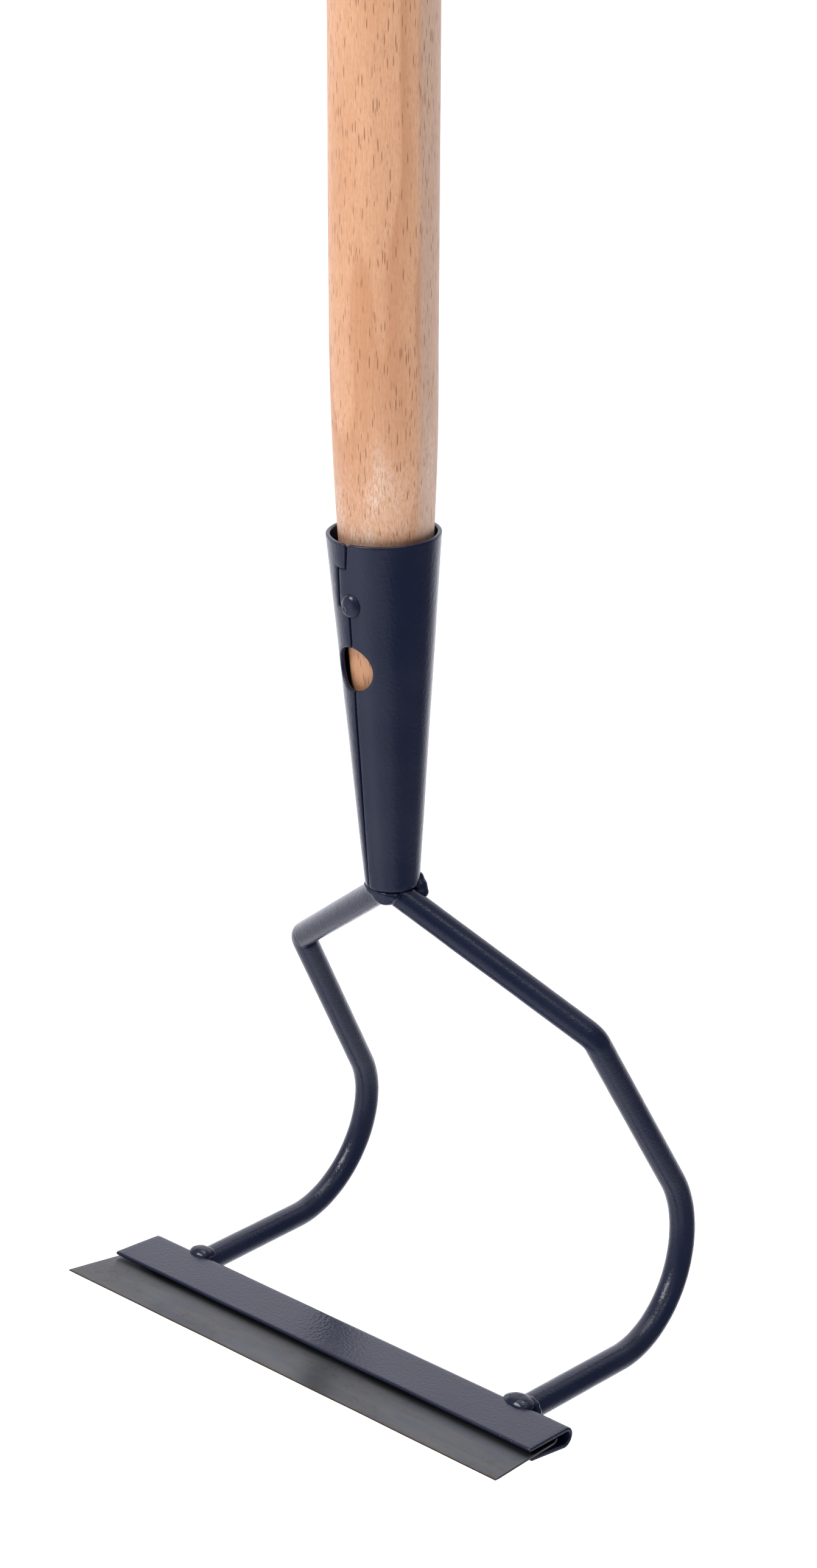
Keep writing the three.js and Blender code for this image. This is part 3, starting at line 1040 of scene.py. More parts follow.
@dataclass
class BeadChain:
    """A weld bead, run as overlapping drops that melt into one lump.

    Attributes:
        drops: (x, y, z, half x, half y, half z) of each drop.
        voxel: how finely the drops are melted together.
        calming: how many times the skin is smoothed.
        calming_share: how far each smoothing goes.
        lumps: height of the lumps on the skin.
        lump_size: size of those lumps.
    """

    drops: list[Drop]
    voxel: float = 0.22
    calming: int = 14
    calming_share: float = 0.6
    lumps: float = 0.14
    lump_size: float = 2.6

    def build(self, name: str, place: Matrix) -> bpy.types.Object:
        """Melts the drops together.

        Args:
            name: the piece's name.
            place: turns the head's millimetres into the model's metres.

        Returns:
            The bead.
        """
        made = Draft()
        for drop in self.drops:
            made.loft(self.drop_rings(drop))
        rough = made.build(name + "_drops", Matrix.Identity(4))
        melt = rough.modifiers.new("melt", "REMESH")
        melt.mode = "VOXEL"
        melt.voxel_size = self.voxel
        calm = rough.modifiers.new("calm", "SMOOTH")
        calm.factor = self.calming_share
        calm.iterations = self.calming
        melted = bpy.data.meshes.new_from_object(rough.evaluated_get(bpy.context.evaluated_depsgraph_get()))
        bpy.data.objects.remove(rough)
        skin = Draft()
        skin.add(self.lumpy(v.co, v.normal) for v in melted.vertices)
        skin.faces = [tuple(p.vertices) for p in melted.polygons]
        bpy.data.meshes.remove(melted)
        return skin.build(name, place, sharp_deg=75)

    @staticmethod
    def drop_rings(drop: Drop) -> list[list[Point3]]:
        """Rings of one ellipsoid.

        Args:
            drop: its middle and half sizes.

        Returns:
            The rings from pole to pole.
        """
        x, y, z, half_x, half_y, half_z = drop
        rows, sides = 16, 28
        rings = []
        for i in range(1, rows):
            tilt = math.pi * i / rows
            wide, high = math.sin(tilt), math.cos(tilt)
            rings.append([(x + half_x * wide * c, y + half_y * wide * s, z + half_z * high)
                          for c, s in circle(sides)])
        return rings

    def lumpy(self, spot: Vector, normal: Vector) -> Vector:
        """Moves a point of the skin in or out."""
        coarse = noise.noise(spot / self.lump_size)
        fine = noise.noise(spot / (0.45 * self.lump_size) + Vector((5, 1, 2)))
        return spot + normal * self.lumps * (coarse + 0.4 * fine)


# ---------------------------------------------------------------- the hoe's sub-assemblies


@dataclass
class Handle:
    """The turned beech shaft, thinned by hand where it enters the socket.

    Attributes:
        radius: of the shaft.
        length: from tip to dome.
        dome_height: of the rounded top.
        taper_above: where the thinning starts, above the mouth.
        mouth_radius: at the mouth.
        mouth_shift: how far the thinned part leans back at the mouth.
        tip_depth: below the mouth.
        tip_radius: at the tip.
        tip_shift: how far the tip lies back.
        tip_chamfer: at the tip.
        uneven: how far the shaft is out of round.
        slack: how much smaller it is drawn, so that its bumps stay inside its radius.
        sides: points around the shaft.
    """

    radius: float = 14.75
    length: float = 1400.0
    dome_height: float = 9.0
    taper_above: float = 50.0
    mouth_radius: float = 13.42
    mouth_shift: float = 0.9
    tip_depth: float = 86.0
    tip_radius: float = 7.9
    tip_shift: float = 3.2
    tip_chamfer: float = 1.2
    uneven: float = 0.07
    slack: float = 0.04
    sides: int = 72

    def radius_at(self, height: float) -> float:
        """Radius of the shaft at a height above the mouth.

        Args:
            height: above the mouth.

        Returns:
            The radius.
        """
        if height >= self.taper_above:
            return self.radius
        if height >= 0:
            thinned = (1 - height / self.taper_above) ** 2
            return thinned * self.mouth_radius + (1 - thinned) * self.radius
        return self.mouth_radius + (self.mouth_radius - self.tip_radius) * height / self.tip_depth

    def shift_at(self, height: float) -> float:
        """How far back the shaft's middle lies at a height above the mouth.

        Args:
            height: above the mouth.

        Returns:
            The shift along Y.
        """
        if height >= 0:
            return max(0.0, 1 - height / self.taper_above) * self.mouth_shift
        return self.mouth_shift - height / self.tip_depth * (self.tip_shift - self.mouth_shift)

    def heights(self) -> list[float]:
        """Heights of the rings, close together where the shaft changes."""
        plain_above = 120.0
        lower = list(np.arange(-self.tip_depth + self.tip_chamfer, 0, 4.0))
        near = list(np.arange(0, plain_above, 2.5))
        upper = list(np.arange(plain_above, self.length - self.tip_depth - self.dome_height, 12.0))
        return lower + near + upper

    def ring(self, radius: float, height: float) -> list[Point3]:
        """One ring, a little out of round as hand-turned wood is.

        Args:
            radius: of the shaft here.
            height: above the mouth.

        Returns:
            The points.
        """
        points = []
        for c, s in circle(self.sides):
            stray = self.uneven * noise.noise(Vector((2 * c, 2 * s, height * 0.03)))
            reach = radius - self.slack + stray
            points.append((reach * c, self.shift_at(height) + reach * s, height))
        return points

    def build(self, head: HeadFrame, look: bpy.types.Material) -> None:
        """Makes and dresses the shaft.

        Args:
            head: places the mouth.
            look: its finish.
        """
        tip = -self.tip_depth
        rings = [self.ring(self.tip_radius - self.tip_chamfer, tip)]
        rings += [self.ring(self.radius_at(h), h) for h in self.heights()]
        top = self.length - self.tip_depth
        dome_rows = 10
        for i in range(dome_rows):
            turn = math.pi / 2 * i / dome_rows
            height = top - self.dome_height + self.dome_height * math.sin(turn)
            rings.append(self.ring(self.radius * math.cos(turn), height))
        made = Draft()
        made.loft(rings)
        piece = made.build("beech_shaft", handle_matrix(head), sharp_deg=35)
        settle(piece, Body.HOE, Slot.BEECH, look, ["handle"])


@dataclass
class Socket:
    """The socket, rolled from sheet, with its seam up the front, a locking tab and a round hole in the seam.

    Attributes:
        length: along the axis.
        mouth_radius: outside.
        foot_radius: outside.
        wall: sheet thickness.
        easing: radius of the painted edges.
        seam_gap: width of the seam.
        crack: width of the closed crack above the tab.
        step_gap: width of the open slit beside the tab.
        seam_foot: (x, z) of the seam at the foot.
        seam_tack: (x, z) of the seam below the tab.
        step_low: (x, z) of the tab's lower corner.
        step_high: (x, z) of the tab's upper corner.
        tab_low: (x, z) where the seam goes on above the tab.
        seam_mouth: x of the seam at the mouth.
        hole: (x, z) of the hole.
        hole_radius: of the hole.
        proud: how far the left edge stands above the right one.
        proud_reach: how far around the wall that goes on, from the edge.
        dents: depth of the wall's shallow dents.
        mouth_corner: radius of the seam's two corners at the mouth.
    """

    length: float = 106.0
    mouth_radius: float = 16.1
    foot_radius: float = 8.0
    wall: float = 1.3
    easing: float = 0.42
    seam_gap: float = 0.3
    crack: float = 0.1
    step_gap: float = 0.65
    seam_foot: Point2 = (-2.65, -2.0)
    seam_tack: Point2 = (-0.75, 87.0)
    step_low: Point2 = (-4.9, 87.0)
    step_high: Point2 = (-4.1, 98.6)
    tab_low: Point2 = (-0.9, 98.6)
    seam_mouth: float = 0.0
    hole: Point2 = (-1.4, 68.9)
    hole_radius: float = 6.5
    proud: float = 0.3
    proud_reach: float = 9.0
    dents: float = 0.06
    mouth_corner: float = 1.0

    def radius_at(self, height: float) -> float:
        """Outside radius at a height."""
        return self.foot_radius + (self.mouth_radius - self.foot_radius) * height / self.length

    def seam_at(self, height: float) -> float:
        """The seam's x below the tab."""
        (x0, z0), (x1, z1) = self.seam_foot, self.seam_tack
        return x0 + (x1 - x0) * (height - z0) / (z1 - z0)

    def lay(self, x: float, z: float, side: int) -> Point2:
        """Puts a point of the front wall on the flat blank.

        Args:
            x: its x.
            z: its height.
            side: 1 for the right edge of the seam and -1 for the left.

        Returns:
            Its place on the blank, measured around from the back.
        """
        radius = self.radius_at(z)
        lean = math.asin(x / radius)
        return (radius * (side * math.pi - lean), z)

    def edge(self, side: int) -> list[Point2]:
        """One edge of the seam, from the foot up, as (x, z) on the front wall.

        Args:
            side: 1 for the right edge and -1 for the left.

        Returns:
            The corners.
        """
        half = side * self.seam_gap / 2
        crack = -side * self.crack / 2
        step = side * self.step_gap / 2
        hole_foot = self.hole[1] - self.hole_radius
        points = [(self.seam_at(z) + half, z) for z in np.linspace(0, hole_foot, 12)[:-1]]
        points += self.notch(side, half)
        points += [(self.seam_at(z) + half, z) for z in (77.0, 80.0, 83.0)]
        low, high = self.step_low[1] + crack, self.step_high[1] + crack
        points += [(self.seam_at(low) + half, low), (self.step_low[0] + step, low)]
        points += [(self.step_high[0] + step, high), (self.tab_low[0] + half, high)]
        mouth_x = self.seam_mouth + half
        for out, down in ((0.0, 1.0), (0.3, 0.3), (1.0, 0.0)):
            x = mouth_x + side * out * self.mouth_corner
            points.append((x, self.length - down * self.mouth_corner))
        return points

    def notch(self, side: int, half: float) -> list[Point2]:
        """The hole's half circle in one edge.

        Args:
            side: 1 for the right edge and -1 for the left.
            half: half the seam's width, with its sign.

        Returns:
            Its points from the foot up.
        """
        cx, cz = self.hole
        offset = self.seam_at(cz) + half - cx
        start = math.acos(min(max(side * offset / self.hole_radius, -1), 1))
        steps = 18
        points = []
        for i in range(steps + 1):
            turn = -start + 2 * start * i / steps
            out, up = self.hole_radius * math.cos(turn), self.hole_radius * math.sin(turn)
            points.append((cx + side * out, cz + up))
        return points

    def blank(self) -> EasedBlank:
        """The flat blank that the socket is rolled from."""
        right = [self.lay(x, z, 1) for x, z in self.edge(1)]
        left = [self.lay(x, z, -1) for x, z in self.edge(-1)]
        steps = 40
        foot = [self.across(left[0], right[0], i / steps) for i in range(1, steps)]
        mouth = [self.across(right[-1], left[-1], i / steps) for i in range(1, steps)]
        return EasedBlank(foot + right + mouth + left[::-1], self.wall, self.easing, 1.5)

    @staticmethod
    def across(start: Point2, end: Point2, share: float) -> Point2:
        """A point on the line between two points."""
        return (start[0] + (end[0] - start[0]) * share, start[1] + (end[1] - start[1]) * share)

    def bend(self, around: float, height: float, depth: float) -> Point3:
        """Rolls a point of the blank into the socket.

        Args:
            around: distance around from the back, to the right.
            height: above the foot.
            depth: below the outside.

        Returns:
            The point.
        """
        turn = around / self.radius_at(height)
        from_seam = abs(around + math.pi * self.radius_at(height))
        lift = self.proud * (1 - smooth_step(0.5, self.proud_reach, from_seam)) * smooth_step(4, 20, height)
        dent = self.dents * noise.noise(Vector((around * 0.09, height * 0.07, 1.3)))
        radius = self.radius_at(height) - depth + lift + dent
        return (radius * math.sin(turn), radius * math.cos(turn), height)

    def build(self, head: HeadFrame, look: bpy.types.Material) -> None:
        """Makes and dresses the socket.

        Args:
            head: places it.
            look: its finish.
        """
        piece = self.blank().draft(self.bend).build("rolled_socket", head.matrix(), sharp_deg=75)
        settle(piece, Body.HOE, Slot.PAINT, look, ["socket"])


@dataclass
class SeamTack:
    """The round tack weld that locks the seam, with a small crater.

    Attributes:
        x: of its middle.
        z: height of its middle.
        wall_radius: of the socket's wall there.
        half_width: across.
        half_height: along.
        rise: above the wall.
        sunk: how far its edge lies in the wall.
        crater: (across, along) from its middle to the crater's.
        crater_radius: of the crater.
        crater_depth: of the crater.
        uneven: how much its edge strays, as a share of its size.
        lumps: height of the lumps on its skin.
    """

    x: float = 0.1
    z: float = 88.1
    wall_radius: float = 14.73
    half_width: float = 3.2
    half_height: float = 3.5
    rise: float = 1.9
    sunk: float = 0.25
    crater: Point2 = (-1.3, -0.9)
    crater_radius: float = 0.55
    crater_depth: float = 0.38
    uneven: float = 0.06
    lumps: float = 0.1

    def build(self, head: HeadFrame, look: bpy.types.Material) -> None:
        """Makes and dresses the bead.

        Args:
            head: places it.
            look: its finish.
        """
        rows, sides, skirt_depth = 22, 48, 1.2
        rings = []
        for i in range(rows, 0, -1):
            rings.append([self.spot(i / rows, math.tau * k / sides) for k in range(sides)])
        skirt = [(x, y + skirt_depth, z) for x, y, z in rings[0]]
        made = Draft()
        made.loft([skirt] + rings)
        piece = made.build("tack_bead", head.matrix(), sharp_deg=80)
        settle(piece, Body.HOE, Slot.PAINT, look, ["seam_tack_weld"])

    def spot(self, share: float, turn: float) -> Point3:
        """A point of the bead's skin.

        Args:
            share: from 0 in the middle to 1 at the edge.
            turn: around the middle.

        Returns:
            The point in the head's frame.
        """
        edge = 1 + self.uneven * noise.noise(Vector((1.5 * math.cos(turn), 1.5 * math.sin(turn), 0.4)))
        side = share * edge * self.half_width * math.cos(turn)
        up = share * edge * self.half_height * math.sin(turn)
        dome = self.rise * max(1 - share**2.6, 0) ** 0.55
        away = math.hypot(side - self.crater[0], up - self.crater[1]) / self.crater_radius
        dome -= self.crater_depth * math.exp(-(away**2)) * (1 - share**4)
        dome += self.lumps * noise.noise(Vector((side * 0.9, up * 0.9, 7.1))) * (1 - share)
        lean = (self.x + side) / self.wall_radius
        reach = self.wall_radius - self.sunk + dome
        return (reach * math.sin(lean), -reach * math.cos(lean), self.z + up)


@dataclass
class HandleScrew:
    """The plated pan-head screw at the back, with a cross recess.

    Attributes:
        height: above the foot.
        wall_radius: where the head sits.
        head_radius: of the head.
        head_rise: of the head.
        rim: (inward, along) size of the round under the head.
        shank_radius: of the shank.
        length: below the head.
        point: length of the shank's point.
        point_radius: of the flat at its tip.
        lift: how far the head stands off the wall.
        recess_width: half the width of the cross recess at its floor and at its brim.
        recess_reach: half its length at its floor and at its brim.
        recess_depth: of the cross recess.
    """

    height: float = 84.0
    wall_radius: float = 14.75
    head_radius: float = 4.0
    head_rise: float = 2.0
    rim: Point2 = (0.35, 0.3)
    shank_radius: float = 2.0
    length: float = 15.0
    point: float = 2.0
    point_radius: float = 0.2
    lift: float = 0.1
    recess_width: Point2 = (0.42, 0.6)
    recess_reach: Point2 = (1.7, 2.2)
    recess_depth: float = 1.2

    def build(self, head: HeadFrame, look: bpy.types.Material) -> None:
        """Makes and dresses the screw.

        Args:
            head: places it.
            look: its finish.
        """
        seat = self.wall_radius + self.lift
        tip = seat - self.length
        under = seat - self.rim[1]
        made = Draft()
        rings = [self.ring(self.point_radius, tip), self.ring(self.shank_radius, tip + self.point)]
        rings += [self.ring(self.shank_radius, under), self.ring(self.head_radius - self.rim[0], under)]
        rings += [self.ring(self.head_radius, seat)]
        crown_rows = 26
        rings += [self.crown(1 - i / crown_rows, seat) for i in range(1, crown_rows)]
        made.loft(rings)
        piece = made.build("pan_head_screw", head.matrix(), sharp_deg=40)
        settle(piece, Body.HOE, Slot.ZINC, look, ["handle_screw"])

    def ring(self, radius: float, reach: float) -> list[Point3]:
        """A plain ring around the screw, at a distance from the socket's axis."""
        return [(radius * c, reach, self.height + radius * s) for c, s in circle(64)]

    def crown(self, share: float, seat: float) -> list[Point3]:
        """A ring of the head's crown, sunk where the recess is.

        Args:
            share: of the head's radius.
            seat: where the head sits.

        Returns:
            The points.
        """
        points = []
        for x, _, z in self.ring(share * self.head_radius, 0.0):
            up = z - self.height
            rise = self.head_rise * (1 - share**2.8) ** 0.7
            inside = 1 - smooth_step(*self.recess_width, min(abs(x), abs(up)))
            inside *= 1 - smooth_step(*self.recess_reach, max(abs(x), abs(up)))
            rise -= self.recess_depth * inside
            points.append((x, seat + rise, z))
        return points


class Side(Enum):
    """The two halves of the bow."""

    LEFT = -1
    RIGHT = 1


@dataclass
class BowArm:
    """One bent rod of the bow, from the neck out to the elbow, down, and forward to the blade holder.

    Attributes:
        side: which half.
        rod_radius: of the rod.
        neck: (x, y, z) of the rod's upper end.
        elbow: corner of the upper bend.
        bend: corner of the lower bend.
        foot: (x, y, z) of the lower end.
        elbow_radius: of the centre line in the upper bend.
        crease: depth of the crease inside the upper bend.
        crease_reach: how far the crease runs along the rod.
        bend_radius: of the centre line in the lower bend.
        clear: how far it stays from the other rod, on its side of the middle.
        uneven: how far the painted rod is out of round.
        ring_sides: points around the rod.
        ring_steps: spacing of the rings in the upper bend, in the lower bend and elsewhere.
    """

    side: Side
    rod_radius: float = 4.0
    neck: Point3 = (0.0, -2.0, -0.5)
    elbow: Point3 = (56.7, 21.9, -42.2)
    bend: Point3 = (68.1, 84.5, -157.3)
    foot: Point3 = (63.97, -23.5, -143.17)
    elbow_radius: float = 7.2
    crease: float = 1.1
    crease_reach: float = 1.5
    bend_radius: float = 31.5
    clear: float = 0.02
    uneven: float = 0.035
    ring_sides: int = 40
    ring_steps: Point3 = (0.45, 1.4, 1.6)

    def corner(self, before: Vector, at: Vector, after: Vector, radius: float, step: float) -> list[Vector]:
        """The round of one corner.

        Args:
            before: the corner before it.
            at: the corner.
            after: the corner after it.
            radius: of the round.
            step: spacing of the points.

        Returns:
            The points of the arc.
        """
        arriving = (at - before).normalized()
        leaving = (after - at).normalized()
        turn = arriving.angle(leaving)
        start = at - arriving * radius * math.tan(turn / 2)
        axis = arriving.cross(leaving).normalized()
        centre = start + axis.cross(arriving) * radius
        count = max(6, round(turn * radius / step))
        spoke = start - centre
        return [centre + Matrix.Rotation(turn * i / count, 3, axis) @ spoke for i in range(count + 1)]

    def line(self) -> list[Vector]:
        """The rod's centre line, with points close enough for its bumps."""
        corners = (self.neck, self.elbow, self.bend, self.foot)
        neck, elbow, bend, foot = (self.mirrored(point) for point in corners)
        past = neck + (neck - elbow).normalized() * 2 * self.rod_radius
        points = [past]
        points += self.corner(past, elbow, bend, self.elbow_radius, self.ring_steps[0])
        points += self.corner(elbow, bend, foot, self.bend_radius, self.ring_steps[1])
        points.append(foot)
        return self.spaced(points, self.ring_steps[2])

    def mirrored(self, point: Point3) -> Vector:
        """A point of the right arm, taken to this arm's side."""
        return Vector((self.side.value * point[0], point[1], point[2]))

    @staticmethod
    def spaced(points: list[Vector], step: float) -> list[Vector]:
        """Adds points so that none are further apart than a step.

        Args:
            points: a line.
            step: the longest distance.

        Returns:
            The line with more points.
        """
        made = [points[0]]
        for start, end in zip(points, points[1:]):
            count = max(1, math.ceil((end - start).length / step))
            made.extend(start.lerp(end, i / count) for i in range(1, count + 1))
        return made

    def section(self, centre: Vector, along: Vector, across: Vector, inward: Vector,
                bent: float) -> list[Vector]:
        """One ring of the rod, a little uneven under its paint.

        Args:
            centre: of the ring.
            along: the rod's direction.
            across: a direction at right angles to it.
            inward: towards the inside of the upper bend.
            bent: 1 in the middle of the upper bend and 0 away from it.

        Returns:
            The points.
        """
        third = along.cross(across).normalized()
        ring = []
        for k in range(self.ring_sides):
            turn = math.tau * k / self.ring_sides
            reach = across * math.cos(turn) + third * math.sin(turn)
            stray = self.uneven * noise.noise((centre + reach * self.rod_radius) * 0.35)
            facing = max(reach.dot(inward), 0.0)
            stray -= self.crease * bent * facing**3
            ring.append(centre + reach * (self.rod_radius + stray))
        return ring

    def build(self, head: HeadFrame, look: bpy.types.Material) -> None:
        """Makes and dresses the rod.

        Args:
            head: places it.
            look: its finish.
        """
        points = self.line()
        elbow = self.mirrored(self.elbow)
        middle = min(points, key=lambda p: (p - elbow).length)
        inward = (middle - elbow).normalized()
        across = Vector((0, 0, 1))
        rings = []
        for i, centre in enumerate(points):
            ahead, behind = points[min(i + 1, len(points) - 1)], points[max(i - 1, 0)]
            along = (ahead - behind).normalized()
            across = (across - along * across.dot(along)).normalized()
            bent = math.exp(-(((centre - middle).length / self.crease_reach) ** 2))
            ring = self.section(centre, along, across, inward, bent)
            rings.append(self.mitred(ring, along))
        made = Draft()
        made.loft(rings)
        name = f"{self.side.name.lower()}_bow_rod"
        piece = made.build(name, head.matrix(), sharp_deg=50)
        settle(piece, Body.HOE, Slot.PAINT, look, [f"{self.side.name.lower()}_arm"])

    def mitred(self, ring: list[Vector], along: Vector) -> list[Vector]:
        """Slides the points of a ring along the rod until they are on their own side of the middle.

        Args:
            ring: the points.
            along: the rod's direction, away from the middle.

        Returns:
            The points, cut off at the middle.
        """
        made = []
        for point in ring:
            short = max(self.clear - self.side.value * point.x, 0.0)
            slide = short / (self.side.value * along.x) if short > 0 else 0.0
            made.append(point + along * slide)
        return made


@dataclass
class BowWelds:
    """The weld beads of the bow: two at the neck, and one at each end of the holder.

    Attributes:
        front: drops of the bead under the front of the neck.
        back: drops of the lump behind the neck.
        right: drops of the bead on the right rod's foot.
        left: drops of the bead on the left rod's foot.
        neck_calming: how many times the skin of the neck's beads is smoothed.
        neck_lumps: height of the lumps on them.
    """

    front: list[Drop] = field(default_factory=lambda: [
        (0.6, -3.8, -3.0, 4.6, 3.7, 2.6), (-2.6, -4.6, -1.5, 3.4, 2.5, 1.8),
        (-4.6, -3.7, -0.8, 2.8, 2.4, 1.6), (3.2, -4.1, -1.8, 3.1, 2.4, 1.9),
        (0.8, -5.2, -1.4, 4.2, 2.3, 1.6), (-6.0, -2.7, -0.9, 1.6, 1.5, 1.2)])
    back: list[Drop] = field(default_factory=lambda: [
        (0.5, 5.6, -2.6, 6.6, 3.0, 3.8), (5.4, 5.2, 0.7, 1.9, 1.9, 2.3),
        (6.1, 4.9, -1.2, 2.5, 2.4, 2.4), (7.0, 4.5, -2.9, 2.5, 2.3, 2.0),
        (-4.8, 5.2, -1.6, 2.6, 2.6, 2.4)])
    right: list[Drop] = field(default_factory=lambda: [
        (63.6, -23.6, -139.7, 4.9, 3.5, 2.1), (61.2, -23.6, -140.0, 3.0, 2.8, 1.7),
        (65.6, -21.0, -139.7, 1.9, 1.6, 1.2), (67.4, -20.8, -140.9, 1.5, 1.5, 1.5),
        (68.3, -20.8, -142.8, 1.2, 1.4, 1.7)])
    left: list[Drop] = field(default_factory=lambda: [
        (-64.4, -23.2, -139.7, 4.1, 3.2, 2.0), (-62.6, -21.6, -139.9, 2.4, 2.0, 1.5)])
    neck_calming: int = 50
    neck_lumps: float = 0.05

    def build(self, head: HeadFrame, look: bpy.types.Material) -> None:
        """Makes and dresses the beads.

        Args:
            head: places them.
            look: their finish.
        """
        front = BeadChain(self.front, calming=self.neck_calming, lumps=self.neck_lumps)
        back = BeadChain(self.back, calming=self.neck_calming, lumps=self.neck_lumps)
        beads = {"neck_front_bead": (front, "neck_weld_front"),
                 "neck_back_bead": (back, "neck_weld_back"),
                 "right_foot_bead": (BeadChain(self.right), "right_holder_weld"),
                 "left_foot_bead": (BeadChain(self.left), "left_holder_weld")}
        for name, (chain, node) in beads.items():
            settle(chain.build(name, head.matrix()), Body.HOE, Slot.PAINT, look, [node])


@dataclass
class BladeHolder:
    """The folded sheet that grips the blade between its two flanges.

    Attributes:
        length: along X.
        sheet: thickness.
        fold: (y, z) of the fold's middle.
        fold_radius: outside.
        upper_flange: length of the upper flange.
        upper_rise_deg: how much it rises to the front.
        lower_flange: length of the lower flange.
        lower_rise_deg: how much it rises to the front.
        easing: how much the sheet's ends are rounded.
        waviness: how far the flanges stray up and down.
    """

    length: float = 164.8
    sheet: float = 1.25
    fold: Point2 = (-26.0, -142.45)
    fold_radius: float = 3.2
    upper_flange: float = 17.3
    upper_rise_deg: float = 10.2
    lower_flange: float = 15.6
    lower_rise_deg: float = 16.8
    easing: float = 0.35
    waviness: float = 0.25

    def centre_line(self) -> tuple[list[Point2], list[float]]:
        """The sheet's centre line from the upper lip round the fold to the lower lip.

        Returns:
            The (y, z) points, and the half thickness at each.
        """
        middle = self.fold_radius - self.sheet / 2
        upper = math.pi / 2 - math.radians(self.upper_rise_deg)
        lower = -math.pi / 2 - math.radians(self.lower_rise_deg)
        points: list[Point2] = []
        half: list[float] = []
        for distance, thick in self.flange_steps(self.upper_flange):
            points.append(self.on_flange(upper, self.upper_rise_deg, middle, distance))
            half.append(thick)
        fold_steps = 24
        for i in range(1, fold_steps):
            turn = upper + (lower - upper) * i / fold_steps
            points.append((self.fold[0] + middle * math.cos(turn), self.fold[1] + middle * math.sin(turn)))
            half.append(self.sheet / 2)
        for distance, thick in reversed(self.flange_steps(self.lower_flange)):
            points.append(self.on_flange(lower, self.lower_rise_deg, middle, distance))
            half.append(thick)
        return points, half

    def flange_steps(self, length: float) -> list[tuple[float, float]]:
        """Distances from the fold along a flange, from its lip inwards, with the half thickness there.

        Args:
            length: of the flange.

        Returns:
            The (distance, half thickness) pairs.
        """
        lip = self.sheet / 2
        steps = []
        for share in (0.0, 0.06, 0.2, 0.45, 0.75, 1.0):
            steps.append((length + lip - share * lip, lip * math.sqrt(1 - (1 - share) ** 2)))
        steps += [(length * share, lip) for share in (0.96, 0.85, 0.7, 0.5, 0.3, 0.12, 0.0)]
        return steps

    def on_flange(self, normal: float, rise_deg: float, middle: float, distance: float) -> Point2:
        """A point of the centre line on a flange.

        Args:
            normal: direction of the flange's outside.
            rise_deg: its rise to the front.
            middle: radius of the fold's centre line.
            distance: from the fold.

        Returns:
            The (y, z) point.
        """
        rise = math.radians(rise_deg)
        y = self.fold[0] + middle * math.cos(normal) - distance * math.cos(rise)
        z = self.fold[1] + middle * math.sin(normal) + distance * math.sin(rise)
        return (y, z)

    def build(self, head: HeadFrame, look: bpy.types.Material) -> None:
        """Makes and dresses the holder.

        Args:
            head: places it.
            look: its finish.
        """
        centre, half = self.centre_line()
        waver = [self.waviness * smooth_step(8, 20, self.fold[0] - y) for y, _ in centre]
        strip = Strip(centre, half, [self.length / 2] * len(centre), self.easing, waver)
        piece = strip.draft(110).build("folded_holder", head.matrix(), sharp_deg=60)
        settle(piece, Body.HOE, Slot.PAINT, look, ["blade_holder"])


